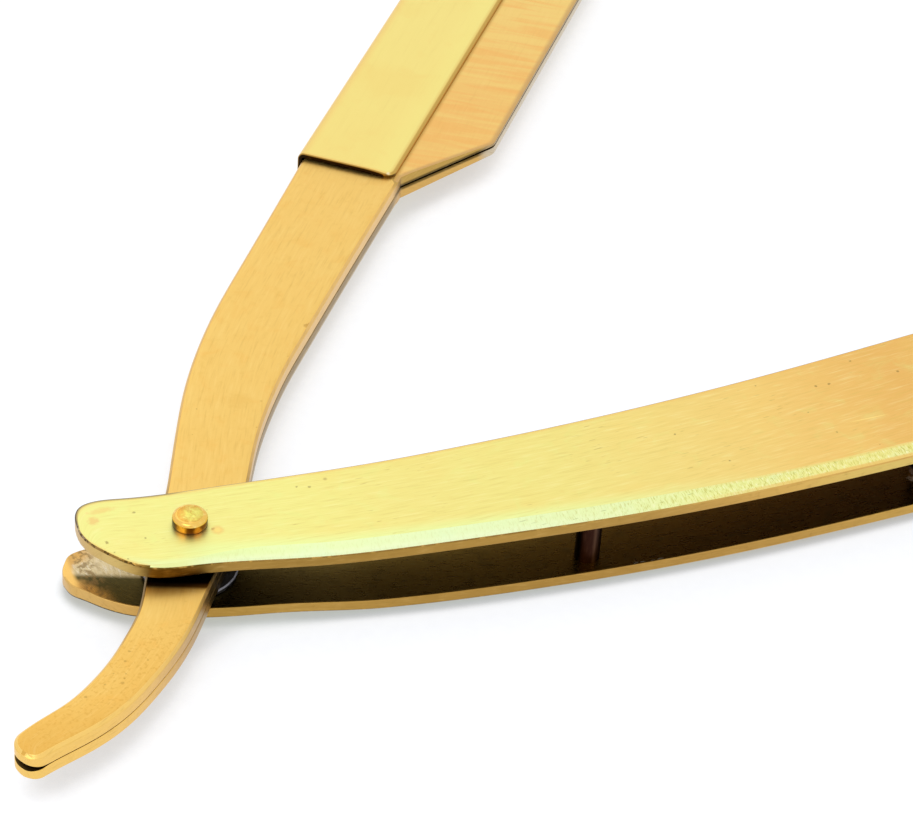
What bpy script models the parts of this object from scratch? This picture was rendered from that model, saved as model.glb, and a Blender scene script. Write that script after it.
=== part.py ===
"""Folding razor with a two-part arm that clamps half a blade, modelled half open.

Metres, +Z up. The pivot's axis is the Z axis and the rivet's lower head stands on z = 0.
The handle runs from its tip, beside the pivot, along +X to its butt. The arm turns about
the pivot: its long axis stands at ARM_ANGLE from +X, and its cutting edge faces +X.

Shapes of the arm are written in the arm's own frame: "along" runs from the pivot to the
toe, and "across" runs from the cutting edge towards the spine. Heights are counted from
the seam between the arm's two halves, which is the mid-plane of the whole razor.
"""

import math

import bmesh
import bpy
import numpy as np

MM = 0.001

# Clearances
TOUCH_GAP = 0.05 * MM
RUN_GAP = 0.05 * MM
OVERRUN = 1.0 * MM

# Arm halves
HALF_THICKNESS = 1.45 * MM
SEAM_GAP = 0.10 * MM
ARM_ANGLE = math.radians(50.5)
CLOSED_ANGLE = math.radians(0.1)
TAIL_REACH = 32.65 * MM
TAIL_SPINE_CORNER = 1.8 * MM
TAIL_FRONT_CORNER = 1.2 * MM
TAIL_CHAMFER = 0.30 * MM
TAIL_SPREAD = 0.42 * MM
TAIL_SPREAD_LENGTH = 2.4 * MM
SHANK_WIDTH = 10.2 * MM
SHANK_CHAMFER = 0.22 * MM

# Head of the arm
HEAD_START = 63.7 * MM
SPINE_LINE = 11.8 * MM
SHANK_FRONT_LINE = 0.75 * MM
HEEL_ROOT_ALONG = 65.3 * MM
HEEL_RUN = 11.5 * MM
HEEL_ROUNDING = 1.6 * MM
JAW_DEPTH = 7.84 * MM
UPPER_JAW_EDGE_THICKNESS = 0.42 * MM
LOWER_JAW_EDGE_THICKNESS = 0.75 * MM
TOE_FRONT_RADIUS = 3.0 * MM
TOE_SPINE_RADIUS = 2.0 * MM

# Half blade that the jaws take, and its seat
BLADE_LENGTH = 43.0 * MM
BLADE_WIDTH = 11.0 * MM
BLADE_EXPOSURE = 0.9 * MM
BLADE_END_GAP = 0.3 * MM
TOE_MARGIN = 2.0 * MM
SLOT_RELIEF = 0.15 * MM
POCKET_SLANT_RUN = 2.1 * MM
STUD_RADIUS = 0.9 * MM
STUD_SEAT_DEPTH = 0.7 * MM
STUD_SPACING = 23.0 * MM

# Spine clip
CLIP_SHEET = 0.45 * MM
CLIP_GAP = 0.25 * MM
CLIP_OVERLAP = 10.6 * MM
CLIP_TOE_INSET = 2.9 * MM
CLIP_BEND_RADIUS = 0.35 * MM
CLIP_CORNER_RADIUS = 1.1 * MM

# Pivot rivet and its washers
RIVET_RADIUS = 1.2 * MM
RIVET_HEAD_RADIUS = 1.75 * MM
RIVET_HEAD_HEIGHT = 0.95 * MM
RIVET_HEAD_ROUNDING = 0.32 * MM
WASHER_RADIUS = 4.75 * MM
WASHER_THICKNESS = 0.55 * MM
WASHER_ROUNDING = 0.12 * MM

# Handle scales
PLATE_THICKNESS = 1.35 * MM
TIP_REACH = 10.5 * MM
LOWER_TIP_EXTRA = 1.3 * MM
BUTT_CLEARANCE = 11.9 * MM
HANDLE_DEPTH = 18.2 * MM
UPPER_BOW_HEIGHT = 0.46 * MM
LOWER_BOW_HEIGHT = 0.72 * MM
UPPER_BOW_END = 34.0 * MM
LOWER_BOW_END = 17.0 * MM
BAND_WIDTH = 1.8 * MM
BAND_DROP = 0.25 * MM
BAND_START = 7.0 * MM
BAND_FADE = 14.0 * MM
EDGE_BREAK = 0.12 * MM

# Pins between the scales
PIN_RADIUS = 1.25 * MM
PIN_SEAT = 0.7 * MM
PIN_ROUNDING = 0.15 * MM
SPACER_REACH = 37.8 * MM
SPACER_SETBACK = 2.55 * MM
BUTT_PIN_INSET = 6.0 * MM
STOP_GAP = 0.2 * MM
STOP_SETBACK = 0.65 * MM

# Fineness of the curves
ROUND_SEGMENTS = 40
CORNER_STEPS = 6
RIM_STEPS = 3
HANDLE_STATIONS = 90
TAIL_STATIONS = 22
SHANK_STATIONS = 24
CURVE_SAMPLES = 2000

# Outline tables. Along is a share of the reach named beside each table, across and width
# are shares of the depth or width named there.

# Edges of the scales' tips, in shares of each scale's own reach beyond the pivot and of the
# handle's depth. The lower scale's tip is the longer and the rounder one.
UPPER_BACK_TIP_SHARES = ((-1.0, 0.158), (-0.975, 0.238), (-0.90, 0.303), (-0.76, 0.326), (-0.48, 0.305))
LOWER_BACK_TIP_SHARES = ((-1.0, 0.160), (-0.978, 0.205), (-0.938, 0.250), (-0.89, 0.290),
                         (-0.82, 0.309), (-0.48, 0.300))
UPPER_FRONT_TIP_SHARES = ((-1.0, 0.100), (-0.965, 0.020), (-0.895, -0.052), (-0.795, -0.133),
                          (-0.685, -0.206), (-0.54, -0.266), (-0.10, -0.320))
LOWER_FRONT_TIP_SHARES = ((-1.0, 0.125), (-0.975, 0.058), (-0.90, 0.0), (-0.80, -0.076),
                          (-0.72, -0.128), (-0.56, -0.204), (-0.30, -0.273), (-0.05, -0.328))

# Back edge of both scales from the pivot to the butt, in shares of the handle's reach and depth
BACK_SHARES = ((0.030, 0.250), (0.149, 0.170), (0.298, 0.152), (0.448, 0.208), (0.597, 0.315),
               (0.746, 0.432), (0.858, 0.516), (0.925, 0.544), (0.972, 0.499), (0.994, 0.390),
               (1.0, 0.253))

# Front edge of both scales, in the same shares
FRONT_SHARES = ((0.075, -0.448), (0.149, -0.539), (0.224, -0.606), (0.373, -0.676),
                (0.522, -0.668), (0.671, -0.615), (0.806, -0.527), (0.910, -0.416),
                (0.968, -0.245), (0.993, -0.040), (1.0, 0.120))

# Middle line and width of the tail and of the shank: along in shares of the tail's reach
# and of the head's start, across and width in shares of the shank's width
TAIL_SHARES = ((-1.0, 0.340, 0.345), (-0.920, 0.228, 0.390), (-0.798, 0.020, 0.430),
               (-0.675, -0.112, 0.465), (-0.567, -0.170, 0.482), (-0.460, -0.196, 0.512),
               (-0.337, -0.190, 0.540), (-0.184, -0.115, 0.620), (0.0, -0.020, 0.715))
SHANK_SHARES = ((0.095, 0.083, 0.758), (0.182, 0.220, 0.778), (0.262, 0.345, 0.810),
                (0.360, 0.464, 0.880), (0.452, 0.534, 0.938), (0.539, 0.567, 0.988),
                (0.666, 0.586, 1.018), (0.824, 0.600, 1.045))

# Most of a scale's depth that the bevelled band and the broken edge may take at its ends
BAND_LIMIT_SHARES = (0.3, 0.1)

# Places worked out from the sizes above
PIVOT_HALF_GAP = 0.5 * SEAM_GAP + HALF_THICKNESS + WASHER_THICKNESS + 2.0 * TOUCH_GAP
SEAM_HEIGHT = RIVET_HEAD_HEIGHT + TOUCH_GAP + PLATE_THICKNESS + PIVOT_HALF_GAP
CLIP_FRONT_LINE = SPINE_LINE - CLIP_OVERLAP
EDGE_LINE = CLIP_FRONT_LINE - JAW_DEPTH
HEEL_ALONG = HEEL_ROOT_ALONG + HEEL_RUN
BLADE_START = HEEL_ALONG + BLADE_END_GAP
TOE_REACH = BLADE_START + BLADE_LENGTH + TOE_MARGIN
BLADE_BACK_LINE = EDGE_LINE - BLADE_EXPOSURE + BLADE_WIDTH
POCKET_BACK_LINE = BLADE_BACK_LINE + STUD_RADIUS + 2.0 * RUN_GAP
HALF_TOP = 0.5 * SEAM_GAP + HALF_THICKNESS
CLIP_INNER = HALF_TOP + CLIP_GAP
CLIP_OUTER = CLIP_INNER + CLIP_SHEET
HANDLE_REACH = TOE_REACH + BUTT_CLEARANCE


def clear_scene():
    """Remove whatever the file holds before the model is made."""
    for found in list(bpy.data.objects):
        bpy.data.objects.remove(found, do_unlink=True)


def finish(name, colour, roughness, metallic):
    """A plain Principled material."""
    material = bpy.data.materials.new(name)
    material.use_nodes = True
    shader = material.node_tree.nodes["Principled BSDF"]
    shader.inputs["Base Color"].default_value = (*colour, 1.0)
    shader.inputs["Roughness"].default_value = roughness
    shader.inputs["Metallic"].default_value = metallic
    return material


def scale_gold():
    """Brushed yellow gold of the handle's scales."""
    return finish("scale_gold", (0.88, 0.70, 0.27), 0.34, 1.0)


def arm_gold():
    """Brushed warm gold of the arm's two halves."""
    return finish("arm_gold", (0.90, 0.62, 0.24), 0.36, 1.0)


def clip_gold():
    """Pale smooth gold of the spine clip."""
    return finish("clip_gold", (0.92, 0.76, 0.38), 0.30, 1.0)


def rivet_gold():
    """Polished gold of the pivot rivet and the blade studs."""
    return finish("rivet_gold", (0.88, 0.62, 0.22), 0.16, 1.0)


def pin_metal():
    """Dull brown metal of the pins between the scales."""
    return finish("pin_metal", (0.30, 0.18, 0.10), 0.40, 1.0)


def washer_nylon():
    """Milky nylon of the pivot's washers."""
    return finish("washer_nylon", (0.82, 0.84, 0.84), 0.45, 0.0)


def spline(knots, samples):
    """Natural cubic spline through the knots, measured along their chords.

    The knots' first two columns are places and any others ride along. Between two knots
    a distance h apart the curve is the cubic whose second derivatives, found for all
    knots at once, make slope and curvature run on without a step.
    """
    knots = np.asarray(knots, dtype=float)
    chords = np.linalg.norm(np.diff(knots[:, :2], axis=0), axis=1)
    knot_run = np.concatenate([[0.0], np.cumsum(chords)])
    count = len(knots)
    system = np.eye(count)
    load = np.zeros_like(knots)
    for i in range(1, count - 1):
        before, after = chords[i - 1], chords[i]
        system[i, i - 1:i + 2] = (before, 2.0 * (before + after), after)
        load[i] = 6.0 * ((knots[i + 1] - knots[i]) / after - (knots[i] - knots[i - 1]) / before)
    bend = np.linalg.solve(system, load)
    run = np.linspace(0.0, knot_run[-1], samples)
    cell = np.clip(np.searchsorted(knot_run, run, side="right") - 1, 0, count - 2)
    h = chords[cell][:, None]
    left = (run - knot_run[cell])[:, None]
    right = h - left
    curve = bend[cell] * right ** 3 / (6.0 * h) + bend[cell + 1] * left ** 3 / (6.0 * h)
    curve += (knots[cell] / h - bend[cell] * h / 6.0) * right
    curve += (knots[cell + 1] / h - bend[cell + 1] * h / 6.0) * left
    return curve


def smooth_step(share):
    """0 to 1 with level ends."""
    share = np.clip(share, 0.0, 1.0)
    return share * share * (3.0 - 2.0 * share)


def corner_sag(distance, radius):
    """How far a round corner falls back from its side, at a distance from its end."""
    inside = np.clip(radius - distance, 0.0, radius)
    return radius - np.sqrt(radius ** 2 - inside ** 2)


def fillet(before, corner, after, radius):
    """Points of the arc that rounds a corner between two straight lines."""
    before, corner, after = (np.asarray(p, dtype=float) for p in (before, corner, after))
    back = (before - corner) / np.linalg.norm(before - corner)
    ahead = (after - corner) / np.linalg.norm(after - corner)
    half_angle = 0.5 * math.acos(float(np.clip(back @ ahead, -1.0, 1.0)))
    middle = (back + ahead) / np.linalg.norm(back + ahead)
    centre = corner + middle * radius / math.sin(half_angle)
    start = corner + back * radius / math.tan(half_angle)
    end = corner + ahead * radius / math.tan(half_angle)
    first = math.atan2(*(start - centre)[::-1])
    turn = math.atan2(*(end - centre)[::-1]) - first
    turn = (turn + math.pi) % (2.0 * math.pi) - math.pi
    angles = first + turn * np.linspace(0.0, 1.0, CORNER_STEPS + 1)
    return [centre + radius * np.array((math.cos(a), math.sin(a))) for a in angles]


def new_object(name, mesh, material, angle=0.0):
    """Put a mesh on the pivot axis, at the height of the seam."""
    made = bpy.data.objects.new(name, mesh)
    bpy.context.collection.objects.link(made)
    made.location = (0.0, 0.0, SEAM_HEIGHT)
    made.rotation_euler = (0.0, 0.0, angle)
    if material is not None:
        mesh.materials.append(material)
    return made


def mesh_of(name, build):
    """Mesh of the faces that build adds, all facing out, smooth but for its sharp edges."""
    shape = bmesh.new()
    build(shape)
    bmesh.ops.recalc_face_normals(shape, faces=shape.faces)
    mesh = bpy.data.meshes.new(name)
    shape.to_mesh(mesh)
    shape.free()
    mesh.shade_smooth()
    mesh.set_sharp_from_angle(angle=math.radians(24.0))
    return mesh


def loft(name, rings):
    """Skin a row of rings that have like points, and close both ends."""
    def build(shape):
        rows = [[shape.verts.new(point) for point in ring] for ring in rings]
        count = len(rows[0])
        for this, following in zip(rows, rows[1:]):
            for i in range(count):
                j = (i + 1) % count
                shape.faces.new((this[i], this[j], following[j], following[i]))
        shape.faces.new(rows[0])
        shape.faces.new(rows[-1])
    return mesh_of(name, build)


def turned(name, profile, place=(0.0, 0.0), bore=0.0):
    """Turn a profile of (radius, height) points about an upright axis at a place."""
    def build(shape):
        angles = [2.0 * math.pi * i / ROUND_SEGMENTS for i in range(ROUND_SEGMENTS)]
        outline = list(profile)
        if bore:
            outline += [(bore, profile[-1][1]), (bore, profile[0][1])]
        rows = []
        for radius, height in outline:
            rows.append([shape.verts.new((place[0] + radius * math.cos(a),
                                          place[1] + radius * math.sin(a), height))
                         for a in angles])
        pairs = list(zip(rows, rows[1:]))
        if bore:
            pairs.append((rows[-1], rows[0]))
        for low, high in pairs:
            for i in range(ROUND_SEGMENTS):
                j = (i + 1) % ROUND_SEGMENTS
                shape.faces.new((low[i], low[j], high[j], high[i]))
        if not bore:
            shape.faces.new(rows[0])
            shape.faces.new(rows[-1])
    return mesh_of(name, build)


def rounded_rod(radius, low, high, rounding):
    """Profile of a rod whose two rims are rounded."""
    arc = [0.5 * math.pi * i / RIM_STEPS for i in range(RIM_STEPS + 1)]
    core = radius - rounding
    bottom = [(core + rounding * math.sin(a), low + rounding * (1.0 - math.cos(a))) for a in arc]
    top = [(core + rounding * math.cos(a), high - rounding * (1.0 - math.sin(a))) for a in arc]
    return bottom + top


def cut(target, name, mesh, angle=0.0):
    """Cut a mesh out of a piece with a Boolean, and leave the cutter as a hidden guide."""
    cutter = new_object(name, mesh, None, angle)
    cutter.hide_render = True
    cutter.display_type = "WIRE"
    modifier = target.modifiers.new(name, "BOOLEAN")
    modifier.operation = "DIFFERENCE"
    modifier.solver = "EXACT"
    modifier.object = cutter


def half_gap(along, side):
    """From the seam to a scale's inner face: level over the washers, then bowed outwards."""
    height = UPPER_BOW_HEIGHT if side > 0 else LOWER_BOW_HEIGHT
    bow_end = UPPER_BOW_END if side > 0 else LOWER_BOW_END
    return PIVOT_HALF_GAP + height * smooth_step((along - WASHER_RADIUS) / (bow_end - WASHER_RADIUS))


def tip_reach_of(side):
    """How far a scale's tip stands out beyond the pivot."""
    return TIP_REACH if side > 0 else TIP_REACH + LOWER_TIP_EXTRA


def scale_edge(tip_shares, shares, tip_reach):
    """Fine points along one edge of a scale, from tip to butt."""
    knots = [(along * tip_reach, across * HANDLE_DEPTH) for along, across in tip_shares]
    knots += [(along * HANDLE_REACH, across * HANDLE_DEPTH) for along, across in shares]
    return spline(knots, CURVE_SAMPLES)


def scale_edges_at(along, side):
    """Where the back and front edges of a scale are, at places along the handle."""
    back_tip = UPPER_BACK_TIP_SHARES if side > 0 else LOWER_BACK_TIP_SHARES
    front_tip = UPPER_FRONT_TIP_SHARES if side > 0 else LOWER_FRONT_TIP_SHARES
    back = scale_edge(back_tip, BACK_SHARES, tip_reach_of(side))
    front = scale_edge(front_tip, FRONT_SHARES, tip_reach_of(side))
    return np.interp(along, back[:, 0], back[:, 1]), np.interp(along, front[:, 0], front[:, 1])


def scale_mesh(name, side):
    """Curved scale: flat outside, a wide bevelled band along its front edge.

    The stations crowd together towards the tip and the butt, where the outline turns:
    along = middle - half * cos(pi * share), for shares spread evenly from 0 to 1.
    """
    middle = 0.5 * (HANDLE_REACH - tip_reach_of(side))
    half = 0.5 * (HANDLE_REACH + tip_reach_of(side))
    along = middle - half * np.cos(np.pi * np.linspace(0.0, 1.0, HANDLE_STATIONS))
    back, front = scale_edges_at(along, side)
    band_limit, edge_limit = (share * (back - front) for share in BAND_LIMIT_SHARES)
    inner = half_gap(along, side)
    outer = inner + PLATE_THICKNESS
    fade = smooth_step((along + BAND_START) / BAND_FADE)
    band = np.minimum(EDGE_BREAK + (BAND_WIDTH - EDGE_BREAK) * fade, band_limit)
    drop = EDGE_BREAK + (BAND_DROP - EDGE_BREAK) * fade
    edge = np.minimum(EDGE_BREAK, edge_limit)
    rings = []
    for i, x in enumerate(along):
        rings.append([
            (x, back[i], side * inner[i]),
            (x, back[i], side * (outer[i] - EDGE_BREAK)),
            (x, back[i] - edge[i], side * outer[i]),
            (x, front[i] + band[i], side * outer[i]),
            (x, front[i], side * (outer[i] - drop[i])),
            (x, front[i], side * inner[i]),
        ])
    return loft(name, rings)


def pin_places():
    """Where the three pins between the scales stand, by name."""
    spacer_front = scale_edges_at(SPACER_REACH, 1)[1]
    butt_along = HANDLE_REACH - BUTT_PIN_INSET
    butt_back, butt_front = scale_edges_at(butt_along, 1)
    heel_root = np.array((HEEL_ROOT_ALONG, SHANK_FRONT_LINE))
    heel_tip = np.array((HEEL_ALONG, EDGE_LINE))
    run = (heel_tip - heel_root) / np.linalg.norm(heel_tip - heel_root)
    outward = np.array((run[1], -run[0]))
    stop = heel_tip - run * STOP_SETBACK + outward * (PIN_RADIUS + STOP_GAP)
    turn = np.array(((math.cos(CLOSED_ANGLE), -math.sin(CLOSED_ANGLE)),
                     (math.sin(CLOSED_ANGLE), math.cos(CLOSED_ANGLE))))
    stop = turn @ stop
    return {
        "spacer_pin": (SPACER_REACH, float(spacer_front) + SPACER_SETBACK),
        "heel_stop_pin": (float(stop[0]), float(stop[1])),
        "butt_pin": (butt_along, 0.5 * float(butt_back + butt_front)),
    }


def make_handle():
    """Two scales, bored for the rivet and sunk from inside for the pins, and the pins."""
    bore_half = PIVOT_HALF_GAP + PLATE_THICKNESS + OVERRUN
    bore = [(RIVET_RADIUS + RUN_GAP, -bore_half), (RIVET_RADIUS + RUN_GAP, bore_half)]
    places = pin_places()
    for name, side in (("upper_scale", 1), ("lower_scale", -1)):
        scale = new_object(name, scale_mesh(name, side), scale_gold())
        cut(scale, name + "_rivet_bore", turned(name + "_rivet_bore", bore))
        for pin_name, place in places.items():
            reach = half_gap(place[0], side) + PIN_SEAT + TOUCH_GAP
            socket = [(PIN_RADIUS + RUN_GAP, height) for height in sorted((0.0, side * reach))]
            label = name + "_" + pin_name + "_socket"
            cut(scale, label, turned(label, socket, place))
    for pin_name, place in places.items():
        foot = -half_gap(place[0], -1) - PIN_SEAT
        top = half_gap(place[0], 1) + PIN_SEAT
        profile = rounded_rod(PIN_RADIUS, foot, top, PIN_ROUNDING)
        new_object(pin_name, turned(pin_name, profile, place), pin_metal())


def make_pivot():
    """Rivet with a low round-rimmed head at each end, and a nylon washer each side."""
    seat = PIVOT_HALF_GAP + PLATE_THICKNESS + TOUCH_GAP
    top = seat + RIVET_HEAD_HEIGHT
    core = RIVET_HEAD_RADIUS - RIVET_HEAD_ROUNDING
    arc = [0.5 * math.pi * i / CORNER_STEPS for i in range(CORNER_STEPS + 1)]
    upper = [(core + RIVET_HEAD_ROUNDING * math.cos(a),
              top - RIVET_HEAD_ROUNDING * (1.0 - math.sin(a))) for a in arc]
    upper = [(RIVET_RADIUS, seat), (RIVET_HEAD_RADIUS, seat)] + upper
    lower = [(radius, -height) for radius, height in reversed(upper)]
    new_object("pivot_rivet", turned("pivot_rivet", lower + upper), rivet_gold())
    low = HALF_TOP + TOUCH_GAP
    high = low + WASHER_THICKNESS
    for name, side in (("upper_washer", 1.0), ("lower_washer", -1.0)):
        ends = sorted((side * low, side * high))
        profile = rounded_rod(WASHER_RADIUS, ends[0], ends[1], WASHER_ROUNDING)
        ring = turned(name, profile, bore=RIVET_RADIUS + RUN_GAP)
        new_object(name, ring, washer_nylon())


def band_stations():
    """Tail and shank of the arm as stations along their smooth middle line.

    Gives each station's middle point, its direction square across the line towards the
    spine, its half width before the tail's corners are rounded, and its distance from the
    tail's end. The first stations sit close together, where the corners are.
    """
    knots = [(along * TAIL_REACH, across * SHANK_WIDTH, width * SHANK_WIDTH)
             for along, across, width in TAIL_SHARES]
    knots += [(along * HEAD_START, across * SHANK_WIDTH, width * SHANK_WIDTH)
              for along, across, width in SHANK_SHARES]
    knots.append((HEAD_START, 0.5 * (SPINE_LINE + SHANK_FRONT_LINE), SPINE_LINE - SHANK_FRONT_LINE))
    fine = spline(knots, CURVE_SAMPLES)
    run = np.concatenate([[0.0], np.cumsum(np.linalg.norm(np.diff(fine[:, :2], axis=0), axis=1))])
    corner_run = TAIL_SPINE_CORNER * (1.0 - np.cos(np.linspace(0.0, 0.5 * np.pi, CORNER_STEPS + 1)))
    corner_run = np.union1d(corner_run, (TAIL_CHAMFER, TAIL_SPREAD_LENGTH))
    pivot_run = np.interp(0.0, fine[:, 0], run)
    tail_run = np.linspace(TAIL_SPREAD_LENGTH, pivot_run, TAIL_STATIONS + 1)
    shank_run = np.linspace(pivot_run, run[-1], SHANK_STATIONS + 1)
    places = np.concatenate([corner_run, tail_run[1:], shank_run[1:]])
    middle = np.column_stack([np.interp(places, run, fine[:, i]) for i in range(3)])
    slope = np.gradient(fine[:, :2], run, axis=0)
    tangent = np.column_stack([np.interp(places, run, slope[:, i]) for i in range(2)])
    tangent /= np.linalg.norm(tangent, axis=1)[:, None]
    tangent[-1] = (1.0, 0.0)
    square = np.column_stack([-tangent[:, 1], tangent[:, 0]])
    return middle[:, :2], square, 0.5 * middle[:, 2], places


def band_rings(side):
    """Sections of one half's tail and shank, with a chamfer round its outer face.

    The chamfer climbs 45 degrees from the outline: a point's level is its distance from
    the tail's end, up to the chamfer's size, and the face's edge stands in by as much.
    At the tail's end the inner face lifts off the seam as the square of the distance.
    """
    middle, square, half, run = band_stations()
    chamfer = TAIL_CHAMFER + (SHANK_CHAMFER - TAIL_CHAMFER) * smooth_step(run / TAIL_REACH)
    level = np.clip(run, EDGE_BREAK, chamfer)
    roof = HALF_TOP - chamfer + level
    spread = TAIL_SPREAD * np.clip(1.0 - run / TAIL_SPREAD_LENGTH, 0.0, 1.0) ** 2
    lines = []
    for toward, corner in ((1.0, TAIL_SPINE_CORNER), (-1.0, TAIL_FRONT_CORNER)):
        sag = corner_sag(run, corner)
        inset = np.maximum(level + corner_sag(run - level, corner - level), sag + EDGE_BREAK)
        outline = middle + square * (toward * (half - sag))[:, None]
        face = middle + square * (toward * (half - inset))[:, None]
        lines += [outline, face]
    rings = []
    for i, (spine, spine_face, front, front_face) in enumerate(zip(*lines)):
        seam = side * (0.5 * SEAM_GAP + spread[i])
        shoulder = side * (HALF_TOP - chamfer[i])
        top = side * roof[i]
        rings.append([
            (*spine, seam), (*spine, shoulder), (*spine_face, top),
            (*front_face, top), (*front, shoulder), (*front, seam),
        ])
    return rings


def head_stations():
    """Head of the arm: spine and front points at like places along it.

    The front line runs down the slanted heel, along the cutting edge and round the toe.
    """
    start = (HEAD_START, SHANK_FRONT_LINE)
    root = (HEEL_ROOT_ALONG, SHANK_FRONT_LINE)
    heel = (HEEL_ALONG, EDGE_LINE)
    toe = (TOE_REACH, EDGE_LINE)
    toe_spine = (TOE_REACH, SPINE_LINE)
    front = [start, root, *fillet(root, heel, toe, HEEL_ROUNDING),
             *fillet(heel, toe, toe_spine, TOE_FRONT_RADIUS)]
    spine = [(HEAD_START, SPINE_LINE)]
    spine += fillet((HEAD_START, SPINE_LINE), toe_spine, toe, TOE_SPINE_RADIUS)
    front, spine = np.array(front), np.array(spine)
    along = np.union1d(np.round(front[:, 0], 9), np.round(spine[:, 0], 9))[1:]
    spine_line = np.column_stack([along, np.interp(along, spine[:, 0], spine[:, 1])])
    front_line = np.column_stack([along, np.interp(along, front[:, 0], front[:, 1])])
    return spine_line, front_line


def half_mesh(name, side):
    """One half of the arm: chamfered tail and shank, then a jaw ground thin to its edge.

    Past the clip's front line the jaw's outer face falls evenly to the cutting edge:
    height = edge + (top - edge) * (across - EDGE_LINE) / (CLIP_FRONT_LINE - EDGE_LINE).
    """
    rings = band_rings(side)
    edge_thickness = UPPER_JAW_EDGE_THICKNESS if side > 0 else LOWER_JAW_EDGE_THICKNESS
    fall = (HALF_TOP - edge_thickness) / (CLIP_FRONT_LINE - EDGE_LINE)
    for back_point, front_point in zip(*head_stations()):
        flat_end = max(CLIP_FRONT_LINE, front_point[1] + SHANK_CHAMFER)
        edge_top = min(HALF_TOP - SHANK_CHAMFER, HALF_TOP - fall * (CLIP_FRONT_LINE - front_point[1]))
        rings.append([
            (*back_point, side * 0.5 * SEAM_GAP),
            (*back_point, side * (HALF_TOP - SHANK_CHAMFER)),
            (back_point[0], back_point[1] - SHANK_CHAMFER, side * HALF_TOP),
            (front_point[0], flat_end, side * HALF_TOP),
            (*front_point, side * edge_top),
            (*front_point, side * 0.5 * SEAM_GAP),
        ])
    return loft(name, rings)


def prism(name, outline, low, high):
    """Upright prism over an outline of (along, across) points."""
    return loft(name, [[(x, y, height) for x, y in outline] for height in (low, high)])


def blade_pocket(name):
    """Cutter for the shallow pocket, shared by both jaws, that the blade lies in."""
    reach = 0.5 * SEAM_GAP + SLOT_RELIEF
    outline = [
        (HEEL_ROOT_ALONG, SHANK_FRONT_LINE - SHANK_CHAMFER),
        (HEEL_ROOT_ALONG + POCKET_SLANT_RUN, POCKET_BACK_LINE),
        (TOE_REACH + OVERRUN, POCKET_BACK_LINE),
        (TOE_REACH + OVERRUN, EDGE_LINE - OVERRUN),
        (HEEL_ROOT_ALONG, EDGE_LINE - OVERRUN),
    ]
    return prism(name, outline, -reach, reach)


def stud_places():
    """The two studs that the back of the blade is notched for."""
    middle = BLADE_START + 0.5 * BLADE_LENGTH
    return {
        "blade_stud_heel": (middle - 0.5 * STUD_SPACING, BLADE_BACK_LINE),
        "blade_stud_toe": (middle + 0.5 * STUD_SPACING, BLADE_BACK_LINE),
    }


def make_arm():
    """The arm's two halves, which share the rivet, and the studs in the lower one."""
    bore = [(RIVET_RADIUS + RUN_GAP, -HALF_TOP - OVERRUN), (RIVET_RADIUS + RUN_GAP, HALF_TOP + OVERRUN)]
    halves = {}
    for name, side in (("upper_arm_half", 1), ("lower_arm_half", -1)):
        half = new_object(name, half_mesh(name, side), arm_gold(), ARM_ANGLE)
        cut(half, name + "_bore", turned(name + "_bore", bore), ARM_ANGLE)
        cut(half, name + "_pocket", blade_pocket(name + "_pocket"), ARM_ANGLE)
        halves[name] = half
    floor = 0.5 * SEAM_GAP + SLOT_RELIEF
    foot = -floor - STUD_SEAT_DEPTH
    for stud_name, place in stud_places().items():
        hole = [(STUD_RADIUS + RUN_GAP, foot - TOUCH_GAP), (STUD_RADIUS + RUN_GAP, 0.0)]
        label = stud_name + "_hole"
        cut(halves["lower_arm_half"], label, turned(label, hole, place), ARM_ANGLE)
        profile = [(STUD_RADIUS, foot), (STUD_RADIUS, 0.0)]
        new_object(stud_name, turned(stud_name, profile, place), rivet_gold(), ARM_ANGLE)


def make_clip():
    """Sheet folded round the spine of both halves, with round front corners.

    Its section is a U: the front lips, the two flat cheeks, and two bends of the same
    centre on the inner and outer face.
    """
    clip_end = TOE_REACH - CLIP_TOE_INSET
    wall_inner = SPINE_LINE + CLIP_GAP
    centre = (wall_inner - CLIP_BEND_RADIUS, CLIP_INNER - CLIP_BEND_RADIUS)
    bend = np.linspace(0.5 * math.pi, 0.0, CORNER_STEPS + 1)
    corner = CLIP_CORNER_RADIUS * (1.0 - np.cos(np.linspace(0.0, 0.5 * np.pi, CORNER_STEPS + 1)))
    along = np.concatenate([HEAD_START + corner, (clip_end - corner)[::-1]])
    rings = []
    for x in along:
        distance = min(x - HEAD_START, clip_end - x)
        front = CLIP_FRONT_LINE + float(corner_sag(distance, CLIP_CORNER_RADIUS))
        outer = [(centre[0] + (CLIP_BEND_RADIUS + CLIP_SHEET) * math.cos(a),
                  centre[1] + (CLIP_BEND_RADIUS + CLIP_SHEET) * math.sin(a)) for a in bend]
        inner = [(centre[0] + CLIP_BEND_RADIUS * math.cos(a),
                  centre[1] + CLIP_BEND_RADIUS * math.sin(a)) for a in bend]
        upper_outer = [(front, CLIP_OUTER - EDGE_BREAK), (front + EDGE_BREAK, CLIP_OUTER), *outer]
        upper_inner = [(front, CLIP_INNER), *inner]
        section = upper_outer + [(y, -z) for y, z in reversed(upper_outer)]
        section += [(y, -z) for y, z in upper_inner] + list(reversed(upper_inner))
        rings.append([(x, y, z) for y, z in section])
    new_object("spine_clip", loft("spine_clip", rings), clip_gold(), ARM_ANGLE)


def main():
    """Build the whole razor."""
    clear_scene()
    make_handle()
    make_pivot()
    make_arm()
    make_clip()


main()
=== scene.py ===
# %% [markdown]
# # A folding razor, half open
# This lesson dresses a packed razor. Its two scales are held apart by a rivet and three
# pins. Its arm is two long halves that share the rivet, and a folded sheet clips them
# together along the spine. Everything but the washers is brushed or polished gold metal.
# The frame comes first, because every piece takes its place from it and nothing is moved.

# %% Load the frame and keep its box
import math

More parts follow.
